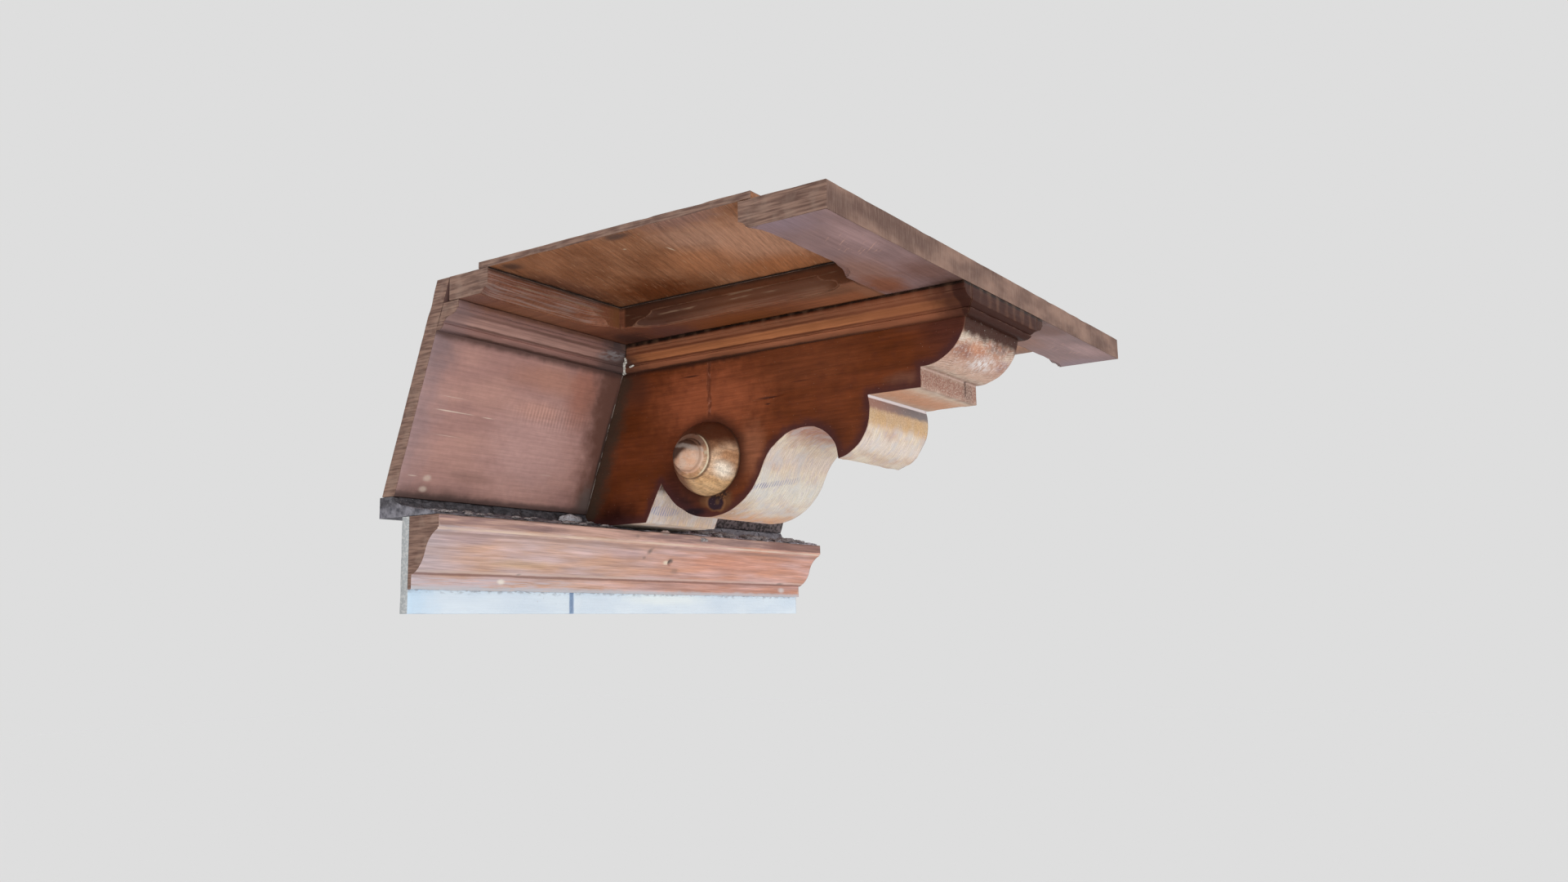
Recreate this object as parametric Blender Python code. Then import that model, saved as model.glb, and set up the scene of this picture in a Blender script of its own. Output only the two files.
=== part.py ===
"""Carved eaves corbel: a scroll-sawn beam end with two turned bosses, the raked frieze
boards and mitred bed moulding around it, the coffered soffit that it carries, and the
wall moulding, mortar bed and strip of wall facing under it.

Metres, +Z up. X runs along the wall, the corbel points along -Y, and the origin is the
middle of the beam's flat built-in end. A reach is measured outwards from the foot of the
frieze boards, and a rise upwards from the underside of the corbel's root.
"""
from math import atan2, ceil, cos, hypot, pi, radians, sin, sqrt, tan

import bmesh
import bpy
from mathutils import Vector

MM = 0.001
GAP = 0.3 * MM                    # left between pieces that touch

# The corbel
CORBEL_WIDTH = 150 * MM
CORBEL_HEIGHT = 235 * MM          # underside of the root to the soffit
BUILT_IN_DEPTH = 24 * MM          # beam behind the frieze boards' foot
TOE_REACH = 105 * MM
NOTCH_RISE = 50 * MM
SCROLL_RADIUS = 88.5 * MM
SCROLL_REACH = 211 * MM
SCROLL_RISE = 89 * MM
ARCH_REACH = 360 * MM
ARCH_RISE = 101 * MM
ARCH_SHOULDER_RADIUS = 44 * MM
OVOLO_REACH = 448 * MM
OVOLO_BULGE = 18.8 * MM
FILLET_RISE = 129.5 * MM
FILLET_REACH = 519 * MM
FILLET_HEIGHT = 24.5 * MM
TIP_REACH = 578 * MM
TIP_BULGE = 15.5 * MM

# The turned bosses
BOSS_REACH = 213 * MM
BOSS_RISE = 75 * MM
BOSS_RADIUS = 48 * MM
BOSS_DOME_DEPTH = 45 * MM         # of the whole dome, which the collar cuts short
COLLAR_RADIUS = 27.5 * MM
COLLAR_WIDTH = 4.5 * MM
COLLAR_STEP = 4.5 * MM
NOSE_RADIUS = 19.5 * MM
NOSE_NECK_LENGTH = 8 * MM
NOSE_END_LENGTH = 10.5 * MM

# The frieze boards, which lean out from foot to top
BOARD_THICKNESS = 20 * MM
BOARD_RAKE = radians(19.5)
BOARD_FOOT_RISE = 17.7 * MM
BAY_LENGTH = 322 * MM             # side of the corbel to the square cut at each end

# The bed moulding under the soffit
BED_HEIGHT = 31 * MM
BED_PROJECTION = 37 * MM
BED_FILLET_HEIGHT = 8.7 * MM
BED_ARRIS_STEP = 2.5 * MM
BED_BEAD_RADIUS = 6.5 * MM
BED_QUIRK = 1.5 * MM

# The coffered soffit
RAIL_THICKNESS = 28.7 * MM
PANEL_THICKNESS = 8 * MM
PANEL_LAP = 15 * MM
FRONT_CUT_MARGIN = 18 * MM        # corbel's tip to the square cut in front
OUTER_RAIL_WIDTH = 100 * MM
COFFER_BACK_REACH = 150 * MM
COFFER_MARGIN = 101 * MM          # side of the corbel to the coffer
COFFER_LENGTH = 254 * MM          # its far end lies beyond the square cut
OGEE_SETBACK = 19.5 * MM
OGEE_HEIGHT = 17 * MM
OGEE_FILLET = 1.6 * MM
STOP_INSET = 21 * MM              # square arris left between a corner and a stop
CUTTER_RADIUS = 49 * MM           # of the round cutter that ran the ogee

# The wall moulding, the mortar bed and the strip of wall facing
WALL_FACE_REACH = 28.5 * MM
WALL_FACING_THICKNESS = 12 * MM
LIP_REACH = 78.5 * MM
LIP_DROP = 7.2 * MM               # top of the wall moulding below the corbel's root
LIP_HEIGHT = 15 * MM
LIP_STEP = 2 * MM
CYMA_HEIGHT = 51 * MM
CYMA_BULGE = 3.6 * MM
SKIRT_REACH = 34 * MM
SKIRT_HEIGHT = 17 * MM
STRIP_HEIGHT = 27 * MM            # wall facing left below the moulding
WALL_JOINT_X = -133.5 * MM
WALL_JOINT_WIDTH = 5 * MM
WALL_JOINT_RECESS = 1 * MM
MORTAR_EDGE_REACH = 72 * MM
MORTAR_EDGE_THICKNESS = 2.5 * MM
MORTAR_SHOULDER = 5 * MM          # bare face of the bed under the boards
MORTAR_LUMP = 1.6 * MM
MORTAR_STATION = 11 * MM

# Facets
ARC_STEP = radians(7)
BOSS_SIDES = 36
STOP_STEPS = 6

# Places worked out from the sizes above
HALF_CORBEL = CORBEL_WIDTH / 2
CUT_X = HALF_CORBEL + BAY_LENGTH
BED_RISE = CORBEL_HEIGHT - BED_HEIGHT
SOFFIT_TOP_RISE = CORBEL_HEIGHT + RAIL_THICKNESS
FRONT_CUT_REACH = TIP_REACH + FRONT_CUT_MARGIN
COFFER_FRONT_REACH = FRONT_CUT_REACH - OUTER_RAIL_WIDTH
LIP_RISE = -LIP_DROP
WALL_FOOT_RISE = LIP_RISE - LIP_HEIGHT - CYMA_HEIGHT - SKIRT_HEIGHT - STRIP_HEIGHT


def board_face_reach(rise):
    """Reach of the frieze boards' front face at a rise."""
    return (rise - BOARD_FOOT_RISE) * tan(BOARD_RAKE)


BOARD_BACK_OFFSET = BOARD_THICKNESS / cos(BOARD_RAKE)
BED_LINE_REACH = board_face_reach(BED_RISE)
RAIL_BACK_REACH = board_face_reach(SOFFIT_TOP_RISE) + GAP


def turn(centre, radius, start, end, step=ARC_STEP):
    """Points along a circle from one angle to another, both ends included."""
    count = max(2, ceil(abs(end - start) / step))
    angles = [start + (end - start) * i / count for i in range(count + 1)]
    return [(centre[0] + radius * cos(a), centre[1] + radius * sin(a)) for a in angles]


def bow(start, end, bulge, step=ARC_STEP):
    """Points along an arc that stands out from its chord by bulge, to the right of it."""
    dx, dy = end[0] - start[0], end[1] - start[1]
    chord = hypot(dx, dy)
    side = 1 if bulge > 0 else -1
    depth = abs(bulge)
    radius = (chord * chord / 4 + depth * depth) / (2 * depth)
    inset = radius - depth
    middle = ((start[0] + end[0]) / 2, (start[1] + end[1]) / 2)
    centre = (middle[0] - side * dy / chord * inset, middle[1] + side * dx / chord * inset)
    first = atan2(start[1] - centre[1], start[0] - centre[0])
    last = atan2(end[1] - centre[1], end[0] - centre[0])
    sweep = (last - first) * side % (2 * pi) * side
    return turn(centre, radius, first, first + sweep, step)


def cyma(start, end, bulge, step=ARC_STEP):
    """An S-curve of two equal arcs, the first one bulging to the right of its chord."""
    middle = ((start[0] + end[0]) / 2, (start[1] + end[1]) / 2)
    return bow(start, middle, bulge, step) + bow(middle, end, -bulge, step)[1:]


def finish(name, colour, roughness):
    """A plain material in the finish that a piece shows."""
    material = bpy.data.materials.new(name)
    material.use_nodes = True
    shader = material.node_tree.nodes["Principled BSDF"]
    shader.inputs["Base Color"].default_value = (*colour, 1)
    shader.inputs["Roughness"].default_value = roughness
    shader.inputs["Metallic"].default_value = 0
    return material


def tidied(bm):
    """Merge doubled vertices and turn every face outwards."""
    bmesh.ops.remove_doubles(bm, verts=bm.verts, dist=MM / 100)
    bmesh.ops.recalc_face_normals(bm, faces=bm.faces)
    return bm


def add_piece(name, bm, material, place=(0, 0, 0), rotation=(0, 0, 0)):
    """One named object on the datum, shaded smooth where its facets follow a curve."""
    mesh = bpy.data.meshes.new(name)
    tidied(bm).to_mesh(mesh)
    bm.free()
    mesh.shade_smooth()
    mesh.set_sharp_from_angle(angle=radians(25))
    if material:
        mesh.materials.append(material)
    piece = bpy.data.objects.new(name, mesh)
    bpy.context.collection.objects.link(piece)
    piece.parent = datum
    piece.location = place
    piece.rotation_euler = rotation
    return piece


def prism(outline, x_from, x_to):
    """An outline of (reach, rise) points run along the wall."""
    bm = bmesh.new()
    face = bm.faces.new([bm.verts.new((x_from, -reach, rise)) for reach, rise in outline])
    pushed = bmesh.ops.extrude_face_region(bm, geom=[face])["geom"]
    corners = [item for item in pushed if isinstance(item, bmesh.types.BMVert)]
    bmesh.ops.translate(bm, verts=corners, vec=(x_to - x_from, 0, 0))
    return tidied(bm)


def slab(x_from, x_to, reach_from, reach_to, rise_from, rise_to):
    """A square-edged board or block."""
    outline = [(reach_from, rise_from), (reach_to, rise_from),
               (reach_to, rise_to), (reach_from, rise_to)]
    return prism(outline, x_from, x_to)


def cut_flat(bm, point, normal):
    """Saw off what lies beyond a plane, and close the cut."""
    geometry = bm.verts[:] + bm.edges[:] + bm.faces[:]
    cut = bmesh.ops.bisect_plane(bm, geom=geometry, plane_co=Vector(point),
                                 plane_no=Vector(normal), clear_outer=True)
    edges = [item for item in cut["geom_cut"] if isinstance(item, bmesh.types.BMEdge)]
    bmesh.ops.edgeloop_fill(bm, edges=edges)
    return tidied(bm)


def subtract(piece, cutter):
    """Cut one object out of another, and keep the cutter as a guide only."""
    cutter.hide_render = True
    cutter.display_type = "WIRE"
    cut = piece.modifiers.new(cutter.name, "BOOLEAN")
    cut.object = cutter
    cut.operation = "DIFFERENCE"
    cut.solver = "EXACT"


def corbel_outline():
    """The sawn side profile, from the built-in end along the underside to the tip."""
    scroll = (SCROLL_REACH, SCROLL_RISE)
    notch_depth = SCROLL_RISE - NOTCH_RISE
    notch_reach = SCROLL_REACH - sqrt(SCROLL_RADIUS ** 2 - notch_depth ** 2)
    run = ARCH_REACH - SCROLL_REACH
    climb = ARCH_RISE - SCROLL_RISE
    # The arch's radius for which it flows out of the scroll without a break
    arch_radius = (run ** 2 + climb ** 2 - SCROLL_RADIUS ** 2) / (2 * (SCROLL_RADIUS + climb))
    arch = (ARCH_REACH, ARCH_RISE - arch_radius)
    flow = atan2(arch[1] - scroll[1], arch[0] - scroll[0])
    shoulder = (ARCH_REACH, ARCH_RISE - ARCH_SHOULDER_RADIUS)
    cusp = (ARCH_REACH + ARCH_SHOULDER_RADIUS, ARCH_RISE - ARCH_SHOULDER_RADIUS)
    scroll_start = -pi + atan2(notch_depth, SCROLL_REACH - notch_reach)

    outline = [(-BUILT_IN_DEPTH, 0), (TOE_REACH, 0)]
    outline += turn(scroll, SCROLL_RADIUS, scroll_start, flow)
    outline += turn(arch, arch_radius, flow + pi, pi / 2)[1:]
    outline += turn(shoulder, ARCH_SHOULDER_RADIUS, pi / 2, 0)[1:]
    outline += bow(cusp, (OVOLO_REACH, FILLET_RISE), OVOLO_BULGE)[1:]
    outline += [(FILLET_REACH, FILLET_RISE)]
    outline += bow((FILLET_REACH, FILLET_RISE + FILLET_HEIGHT), (TIP_REACH, BED_RISE), TIP_BULGE)
    outline += [(TIP_REACH, CORBEL_HEIGHT), (-BUILT_IN_DEPTH, CORBEL_HEIGHT)]
    return outline


def build_corbel():
    """The sawn beam end."""
    varnish = finish("red_brown_varnish", (0.155, 0.042, 0.018), 0.4)
    add_piece("corbel", prism(corbel_outline(), -HALF_CORBEL, HALF_CORBEL), varnish)


def boss_profile():
    """The turned boss as (radius, height) from the corbel's side to the nose."""
    collar = BOSS_DOME_DEPTH * sqrt(1 - (COLLAR_RADIUS / BOSS_RADIUS) ** 2)
    collar_end = collar + COLLAR_WIDTH
    neck_radius = COLLAR_RADIUS - COLLAR_STEP
    nose = collar_end + NOSE_NECK_LENGTH
    rim = atan2(collar / BOSS_DOME_DEPTH, COLLAR_RADIUS / BOSS_RADIUS)
    dome_angles = [rim * i / 7 for i in range(8)]
    end_angles = [pi / 2 * i / 6 for i in range(7)]

    profile = [(0, 0)]
    profile += [(BOSS_RADIUS * cos(a), BOSS_DOME_DEPTH * sin(a)) for a in dome_angles]
    profile += bow((COLLAR_RADIUS, collar), (COLLAR_RADIUS, collar_end), COLLAR_WIDTH / 4, pi / 5)[1:]
    profile += bow((neck_radius, collar_end), (NOSE_RADIUS, nose), -NOSE_NECK_LENGTH / 8, pi / 9)
    profile += [(NOSE_RADIUS * cos(a), nose + NOSE_END_LENGTH * sin(a)) for a in end_angles[1:-1]]
    profile += [(0, nose + NOSE_END_LENGTH)]
    return profile


def build_bosses():
    """A boss turned about its own Z on each side of the scroll."""
    ochre = finish("bare_turned_wood", (0.56, 0.36, 0.17), 0.5)
    for side, name in ((-1, "turned_boss_left"), (1, "turned_boss_right")):
        bm = bmesh.new()
        line = [bm.verts.new((radius, 0, height)) for radius, height in boss_profile()]
        edges = [bm.edges.new(pair) for pair in zip(line, line[1:])]
        bmesh.ops.spin(bm, geom=line + edges, cent=(0, 0, 0), axis=(0, 0, 1),
                       angle=2 * pi, steps=BOSS_SIDES, use_merge=True)
        place = (side * (HALF_CORBEL + GAP), -BOSS_REACH, BOSS_RISE)
        add_piece(name, bm, ochre, place, (0, side * pi / 2, 0))


def build_frieze_boards():
    """The raked boards that close the bays between corbels."""
    dusky = finish("dusky_board_varnish", (0.26, 0.125, 0.095), 0.45)
    top = SOFFIT_TOP_RISE
    outline = [(board_face_reach(BOARD_FOOT_RISE), BOARD_FOOT_RISE),
               (board_face_reach(top), top),
               (board_face_reach(top) - BOARD_BACK_OFFSET, top),
               (board_face_reach(BOARD_FOOT_RISE) - BOARD_BACK_OFFSET, BOARD_FOOT_RISE)]
    for side, name in ((-1, "frieze_board_left"), (1, "frieze_board_right")):
        bm = prism(outline, side * (HALF_CORBEL + GAP), side * CUT_X)
        add_piece(name, bm, dusky)


def bed_profile(back):
    """The bed moulding's section as (offset, height), with the offset of its back at
    the bottom and at the top."""
    band_foot = (2 * BED_BEAD_RADIUS, BED_BEAD_RADIUS + BED_QUIRK)
    band_top = (BED_PROJECTION - BED_ARRIS_STEP, BED_HEIGHT - BED_FILLET_HEIGHT - BED_QUIRK)
    bead_foot = (BED_BEAD_RADIUS / 2, 0)
    bead_top = (2 * BED_BEAD_RADIUS, BED_BEAD_RADIUS)
    section = [(back[0], 0)]
    section += bow(bead_foot, bead_top, BED_BEAD_RADIUS / 3, pi / 8)
    section += [(band_foot[0] - BED_QUIRK, band_foot[1] - BED_QUIRK / 2)]
    section += cyma(band_foot, band_top, -BED_QUIRK, pi / 10)
    section += [(band_top[0], band_top[1] + BED_QUIRK), (BED_PROJECTION, band_top[1] + BED_QUIRK)]
    section += [(BED_PROJECTION, BED_HEIGHT - GAP), (back[1], BED_HEIGHT - GAP)]
    return section


def bed_run(start, end, outward, back):
    """The section swept from start to end in plan, with outward as its facing."""
    bm = bmesh.new()
    loop = []
    for offset, height in bed_profile(back):
        loop.append(bm.verts.new((start[0] + outward[0] * offset,
                                  start[1] + outward[1] * offset, BED_RISE + height)))
    face = bm.faces.new(loop)
    pushed = bmesh.ops.extrude_face_region(bm, geom=[face])["geom"]
    corners = [item for item in pushed if isinstance(item, bmesh.types.BMVert)]
    bmesh.ops.translate(bm, verts=corners, vec=(end[0] - start[0], end[1] - start[1], 0))
    return tidied(bm)


def build_bed_moulding():
    """Five runs: along each board, along each side of the corbel and across its tip."""
    polish = finish("moulding_varnish", (0.2, 0.08, 0.045), 0.4)
    spare = 2 * BED_PROJECTION
    straight = (GAP, GAP)
    raked = (GAP, board_face_reach(CORBEL_HEIGHT) - BED_LINE_REACH + GAP)
    board_normal = (0, cos(BOARD_RAKE), sin(BOARD_RAKE))
    board_point = (0, -BED_LINE_REACH - GAP / cos(BOARD_RAKE), BED_RISE)
    front = (0, -FRONT_CUT_REACH, 0)

    for side, hand in ((-1, "left"), (1, "right")):
        inner = (side * HALF_CORBEL, -BED_LINE_REACH, 0)
        outer = (side * HALF_CORBEL, -TIP_REACH, 0)

        run = bed_run((side * CUT_X, inner[1]), (side * (HALF_CORBEL - spare), inner[1]), (0, -1), raked)
        cut_flat(run, (inner[0] + side * GAP, inner[1], 0), (-side, -1, 0))
        add_piece(f"bed_moulding_board_{hand}", run, polish)

        run = bed_run((inner[0], inner[1] + spare), (inner[0], outer[1] - spare), (side, 0), straight)
        cut_flat(run, (inner[0], inner[1] - GAP, 0), (side, 1, 0))
        cut_flat(run, board_point, board_normal)
        cut_flat(run, (outer[0], outer[1] + GAP, 0), (-side, -1, 0))
        cut_flat(run, front, (0, -1, 0))
        add_piece(f"bed_moulding_corbel_{hand}", run, polish)

    run = bed_run((-HALF_CORBEL - spare, -TIP_REACH), (HALF_CORBEL + spare, -TIP_REACH), (0, -1), straight)
    for side in (-1, 1):
        cut_flat(run, (side * (HALF_CORBEL - GAP), -TIP_REACH, 0), (side, 1, 0))
    cut_flat(run, front, (0, -1, 0))
    add_piece("bed_moulding_tip", run, polish)


def ogee_levels():
    """The ogee that the cutter runs, as (distance into the wood, height) upwards."""
    foot = (OGEE_SETBACK - OGEE_FILLET, OGEE_FILLET)
    head = (OGEE_FILLET, OGEE_HEIGHT - OGEE_FILLET)
    levels = [(OGEE_SETBACK, -OGEE_FILLET), (OGEE_SETBACK, OGEE_FILLET)]
    levels += cyma(foot, head, OGEE_FILLET, pi / 9)
    levels += [(OGEE_FILLET, OGEE_HEIGHT), (-OGEE_FILLET, OGEE_HEIGHT)]
    return levels


def ogee_cutter(name, start, end, into):
    """The way of a round cutter along an arris from start to end in plan, which leaves
    the wood at both ends as a curved stop; into points into the wood."""
    along = Vector((end[0] - start[0], end[1] - start[1]))
    along.normalize()
    into = Vector(into)
    standoff = CUTTER_RADIUS - OGEE_SETBACK
    stop = sqrt(CUTTER_RADIUS ** 2 - standoff ** 2)
    first = Vector(start) + along * (STOP_INSET + stop) - into * standoff
    last = Vector(end) - along * (STOP_INSET + stop) - into * standoff
    quarter = [pi / 2 * i / STOP_STEPS for i in range(STOP_STEPS + 1)]

    bm = bmesh.new()
    rings = []
    for offset, height in ogee_levels():
        radius = standoff + offset
        plan = [first - along * radius * cos(a) + into * radius * sin(a) for a in quarter]
        plan += [last + along * radius * sin(a) + into * radius * cos(a) for a in quarter]
        rings.append([bm.verts.new((p.x, p.y, CORBEL_HEIGHT + height)) for p in plan])
    for lower, upper in zip(rings, rings[1:]):
        for i in range(len(lower)):
            bm.faces.new((lower[i - 1], lower[i], upper[i], upper[i - 1]))
    bm.faces.new(rings[0])
    bm.faces.new(rings[-1])
    return add_piece(name, bm, None)


def build_soffit():
    """Two rails run the whole length, with a board between them over the corbel, and a
    thin panel lies over each coffer."""
    brown = finish("soffit_varnish", (0.19, 0.085, 0.045), 0.45)
    mauve = finish("weathered_rail_varnish", (0.25, 0.15, 0.13), 0.5)
    umber = finish("golden_panel_varnish", (0.3, 0.14, 0.055), 0.4)
    under, over = CORBEL_HEIGHT + GAP, SOFFIT_TOP_RISE
    near = HALF_CORBEL + COFFER_MARGIN
    far = near + COFFER_LENGTH
    back, front = COFFER_BACK_REACH, COFFER_FRONT_REACH

    rail_back = slab(-CUT_X, CUT_X, RAIL_BACK_REACH, back, under, over)
    rail_front = slab(-CUT_X, CUT_X, front, FRONT_CUT_REACH, under, over)
    middle = slab(-near, near, back + GAP, front - GAP, under, over)
    wall_rail = add_piece("soffit_wall_rail", rail_back, brown)
    outer_rail = add_piece("soffit_outer_rail", rail_front, mauve)
    middle_board = add_piece("soffit_board_over_corbel", middle, brown)

    for side, hand in ((-1, "left"), (1, "right")):
        near_x, far_x = side * near, side * far
        cutter = ogee_cutter(f"wall_ogee_{hand}", (near_x, -back), (far_x, -back), (0, 1))
        subtract(wall_rail, cutter)
        cutter = ogee_cutter(f"outer_ogee_{hand}", (near_x, -front), (far_x, -front), (0, -1))
        subtract(outer_rail, cutter)
        cutter = ogee_cutter(f"side_ogee_{hand}", (near_x, -back), (near_x, -front), (-side, 0))
        subtract(middle_board, cutter)
        panel = slab(side * (near - PANEL_LAP), side * CUT_X, back - PANEL_LAP, front + PANEL_LAP,
                     over + GAP, over + GAP + PANEL_THICKNESS)
        add_piece(f"soffit_panel_{hand}", panel, umber)


def wall_moulding_outline():
    """Lip, cyma and skirt, planted on the face of the wall."""
    lip_foot = LIP_RISE - LIP_HEIGHT
    skirt_head = lip_foot - CYMA_HEIGHT
    cyma_head = (LIP_REACH - LIP_STEP, lip_foot - LIP_STEP)
    cyma_foot = (SKIRT_REACH + LIP_STEP, skirt_head)
    back = WALL_FACE_REACH + GAP
    outline = [(back, LIP_RISE), (LIP_REACH, LIP_RISE), (LIP_REACH, lip_foot), (cyma_head[0], lip_foot)]
    outline += cyma(cyma_head, cyma_foot, CYMA_BULGE)
    outline += [(SKIRT_REACH, skirt_head), (SKIRT_REACH, skirt_head - SKIRT_HEIGHT)]
    outline += [(back, skirt_head - SKIRT_HEIGHT)]
    return outline


def lump(x, reach):
    """Height of the mortar's lumps at a place, from a few crossed waves."""
    broad = sin(61 * x + 1.3) * cos(97 * reach + 0.4)
    fine = sin(173 * x + 2.1 * cos(41 * x)) * cos(211 * reach + 9 * x)
    return MORTAR_LUMP * (0.6 * broad + 0.4 * fine)


def build_mortar_bed():
    """Mortar that beds the boards' foot and the corbel on the moulding and the wall."""
    cement = finish("dark_mortar", (0.055, 0.055, 0.06), 0.9)
    foot = LIP_RISE + GAP
    head = BOARD_FOOT_RISE - GAP
    slope_head = head - MORTAR_SHOULDER
    slope_foot = foot + MORTAR_EDGE_THICKNESS
    spans = (0.04, 0.2, 0.4, 0.6, 0.8)
    stations = ceil(2 * CUT_X / MORTAR_STATION)

    bm = bmesh.new()
    rows = []
    for i in range(stations + 1):
        x = CUT_X * (2 * i / stations - 1)
        section = [(-BUILT_IN_DEPTH, foot), (MORTAR_EDGE_REACH, foot), (MORTAR_EDGE_REACH, slope_foot)]
        for share in reversed(spans):
            reach = MORTAR_EDGE_REACH * share
            sag = slope_head + (slope_foot - slope_head) * share ** 0.7
            section.append((reach, sag + lump(x, reach)))
        section += [(-GAP, head), (-BUILT_IN_DEPTH, head)]
        rows.append([bm.verts.new((x, -reach, rise)) for reach, rise in section])
    for near_row, far_row in zip(rows, rows[1:]):
        for i in range(len(near_row)):
            bm.faces.new((near_row[i - 1], near_row[i], far_row[i], far_row[i - 1]))
    bm.faces.new(rows[0])
    bm.faces.new(rows[-1])
    bed = add_piece("mortar_bed", bm, cement)

    room = slab(-HALF_CORBEL - GAP, HALF_CORBEL + GAP, -2 * BUILT_IN_DEPTH, TOE_REACH,
                -GAP, 2 * BOARD_FOOT_RISE)
    subtract(bed, add_piece("room_for_corbel", room, None))


def build_wall():
    """The wall moulding and the jointed wall facing that it is planted on."""
    salmon = finish("salmon_moulding_paint", (0.46, 0.24, 0.17), 0.5)
    chalk = finish("pale_wall_paint", (0.68, 0.78, 0.84), 0.7)
    pointing = finish("blue_grey_pointing", (0.2, 0.25, 0.33), 0.8)
    add_piece("wall_moulding", prism(wall_moulding_outline(), -CUT_X, CUT_X), salmon)

    joint_left = WALL_JOINT_X - WALL_JOINT_WIDTH / 2
    joint_right = WALL_JOINT_X + WALL_JOINT_WIDTH / 2
    face, foot, top = WALL_FACE_REACH, WALL_FOOT_RISE, LIP_RISE
    back = face - WALL_FACING_THICKNESS
    add_piece("wall_facing_left", slab(-CUT_X, joint_left, back, face, foot, top), chalk)
    add_piece("wall_facing_right", slab(joint_right, CUT_X, back, face, foot, top), chalk)
    joint = slab(joint_left + GAP, joint_right - GAP, back, face - WALL_JOINT_RECESS, foot, top)
    add_piece("wall_joint_pointing", joint, pointing)


for leftover in list(bpy.data.objects):
    bpy.data.objects.remove(leftover, do_unlink=True)

datum = bpy.data.objects.new("boards_foot_line", None)
bpy.context.collection.objects.link(datum)
datum.location = (0, -BUILT_IN_DEPTH, -CORBEL_HEIGHT / 2)

build_corbel()
build_bosses()
build_frieze_boards()
build_bed_moulding()
build_soffit()
build_mortar_bed()
build_wall()
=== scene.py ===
# %% [markdown]
# A carved wooden corbel, sawn out of its cornice, dressed for the camera. The solids come
# packed from the CAD model. This script keeps their form and gives each one what age and
# handling gave the real one: rounded arrises, checks, dents, and a finish that changes from
# place to place. The first cell loads the solids and keeps the box that they fill.
# %% Load the frame
import random
from math import ceil, cos, exp, pi, radians, sin

import bmesh
import bpy
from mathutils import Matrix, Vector, noise
from mathutils.kdtree import KDTree


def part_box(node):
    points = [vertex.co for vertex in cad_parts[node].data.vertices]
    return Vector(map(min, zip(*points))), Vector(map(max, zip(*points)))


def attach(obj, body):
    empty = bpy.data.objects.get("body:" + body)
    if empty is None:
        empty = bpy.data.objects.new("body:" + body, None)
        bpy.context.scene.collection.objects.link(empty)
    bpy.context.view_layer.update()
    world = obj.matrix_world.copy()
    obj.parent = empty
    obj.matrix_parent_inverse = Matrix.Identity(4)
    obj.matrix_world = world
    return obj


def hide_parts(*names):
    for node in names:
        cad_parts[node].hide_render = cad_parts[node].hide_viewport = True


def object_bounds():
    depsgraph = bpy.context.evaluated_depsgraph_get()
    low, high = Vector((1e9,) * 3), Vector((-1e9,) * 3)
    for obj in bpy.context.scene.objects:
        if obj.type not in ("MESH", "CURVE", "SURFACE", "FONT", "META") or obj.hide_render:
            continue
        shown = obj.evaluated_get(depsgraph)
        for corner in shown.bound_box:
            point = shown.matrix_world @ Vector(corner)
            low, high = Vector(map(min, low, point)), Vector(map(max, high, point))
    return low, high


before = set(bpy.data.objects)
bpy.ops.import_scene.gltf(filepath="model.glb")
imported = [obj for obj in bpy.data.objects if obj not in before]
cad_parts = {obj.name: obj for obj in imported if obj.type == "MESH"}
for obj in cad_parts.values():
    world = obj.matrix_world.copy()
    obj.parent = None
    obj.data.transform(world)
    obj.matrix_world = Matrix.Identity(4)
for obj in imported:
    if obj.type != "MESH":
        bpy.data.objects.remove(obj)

MM = 0.001
cad_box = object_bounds()
cad_size = cad_box[1] - cad_box[0]
print("solids:", len(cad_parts), "box in mm:", [round(side / MM, 1) for side in cad_size])

# %% [markdown]
# Joiners set this work out from two lines: how far a point reaches out from the foot of the
# frieze boards, and how far it rises above the underside of the corbel's root. All places
# below are given that way, in millimetres, so that a mark read off the real wood can be
# typed in as it is. The two lines come from the solids themselves.
# %% Places in millimetres
BUILT_IN_MM = 24
ROOT_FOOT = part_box("corbel")[0].z
TO_MM = (1 / MM, -1 / MM, 1 / MM)
MM_SHIFT = (0, -BUILT_IN_MM, -ROOT_FOOT / MM)


def spot(x, reach, rise):
    """A place in millimetres as a point in the frame, in metres."""
    return Vector((x * MM, -(reach + BUILT_IN_MM) * MM, ROOT_FOOT + rise * MM))


def in_mm(point):
    """A point in the frame as (x, reach, rise) in millimetres."""
    return Vector([point[i] * TO_MM[i] + MM_SHIFT[i] for i in range(3)])


half_width = in_mm(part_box("corbel")[1]).x
corbel_top = in_mm(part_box("corbel")[1]).z
soffit_top = in_mm(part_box("soffit_outer_rail")[1]).z
panel_top = in_mm(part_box("soffit_panel_left")[1]).z
moulding_top = in_mm(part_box("wall_moulding")[1]).z
cut_x = in_mm(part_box("soffit_outer_rail")[1]).x
front_cut = in_mm(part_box("soffit_outer_rail")[0]).y
wall_back = in_mm(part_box("wall_facing_left")[1]).y
print("corbel half width", half_width, "tops", corbel_top, soffit_top, panel_top, moulding_top)

# %% [markdown]
# The light is a bright overcast studio. A sky of even pale grey does most of the work, and
# three very wide suns give it a direction: a key from low in front on the left, which reaches
# up under the soffit as daylight off the ground does, a weak fill from the right, and one from
# above. The floor lies far below and has the sky's own brightness, so no horizon shows.
# %% Studio
scene = bpy.context.scene
scene.view_settings.view_transform = "Standard"
PALE = 0.73
FLOOR_DEPTH = 2.4


def link(name, data):
    """A new object in the scene."""
    thing = bpy.data.objects.new(name, data)
    scene.collection.objects.link(thing)
    return thing


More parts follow.
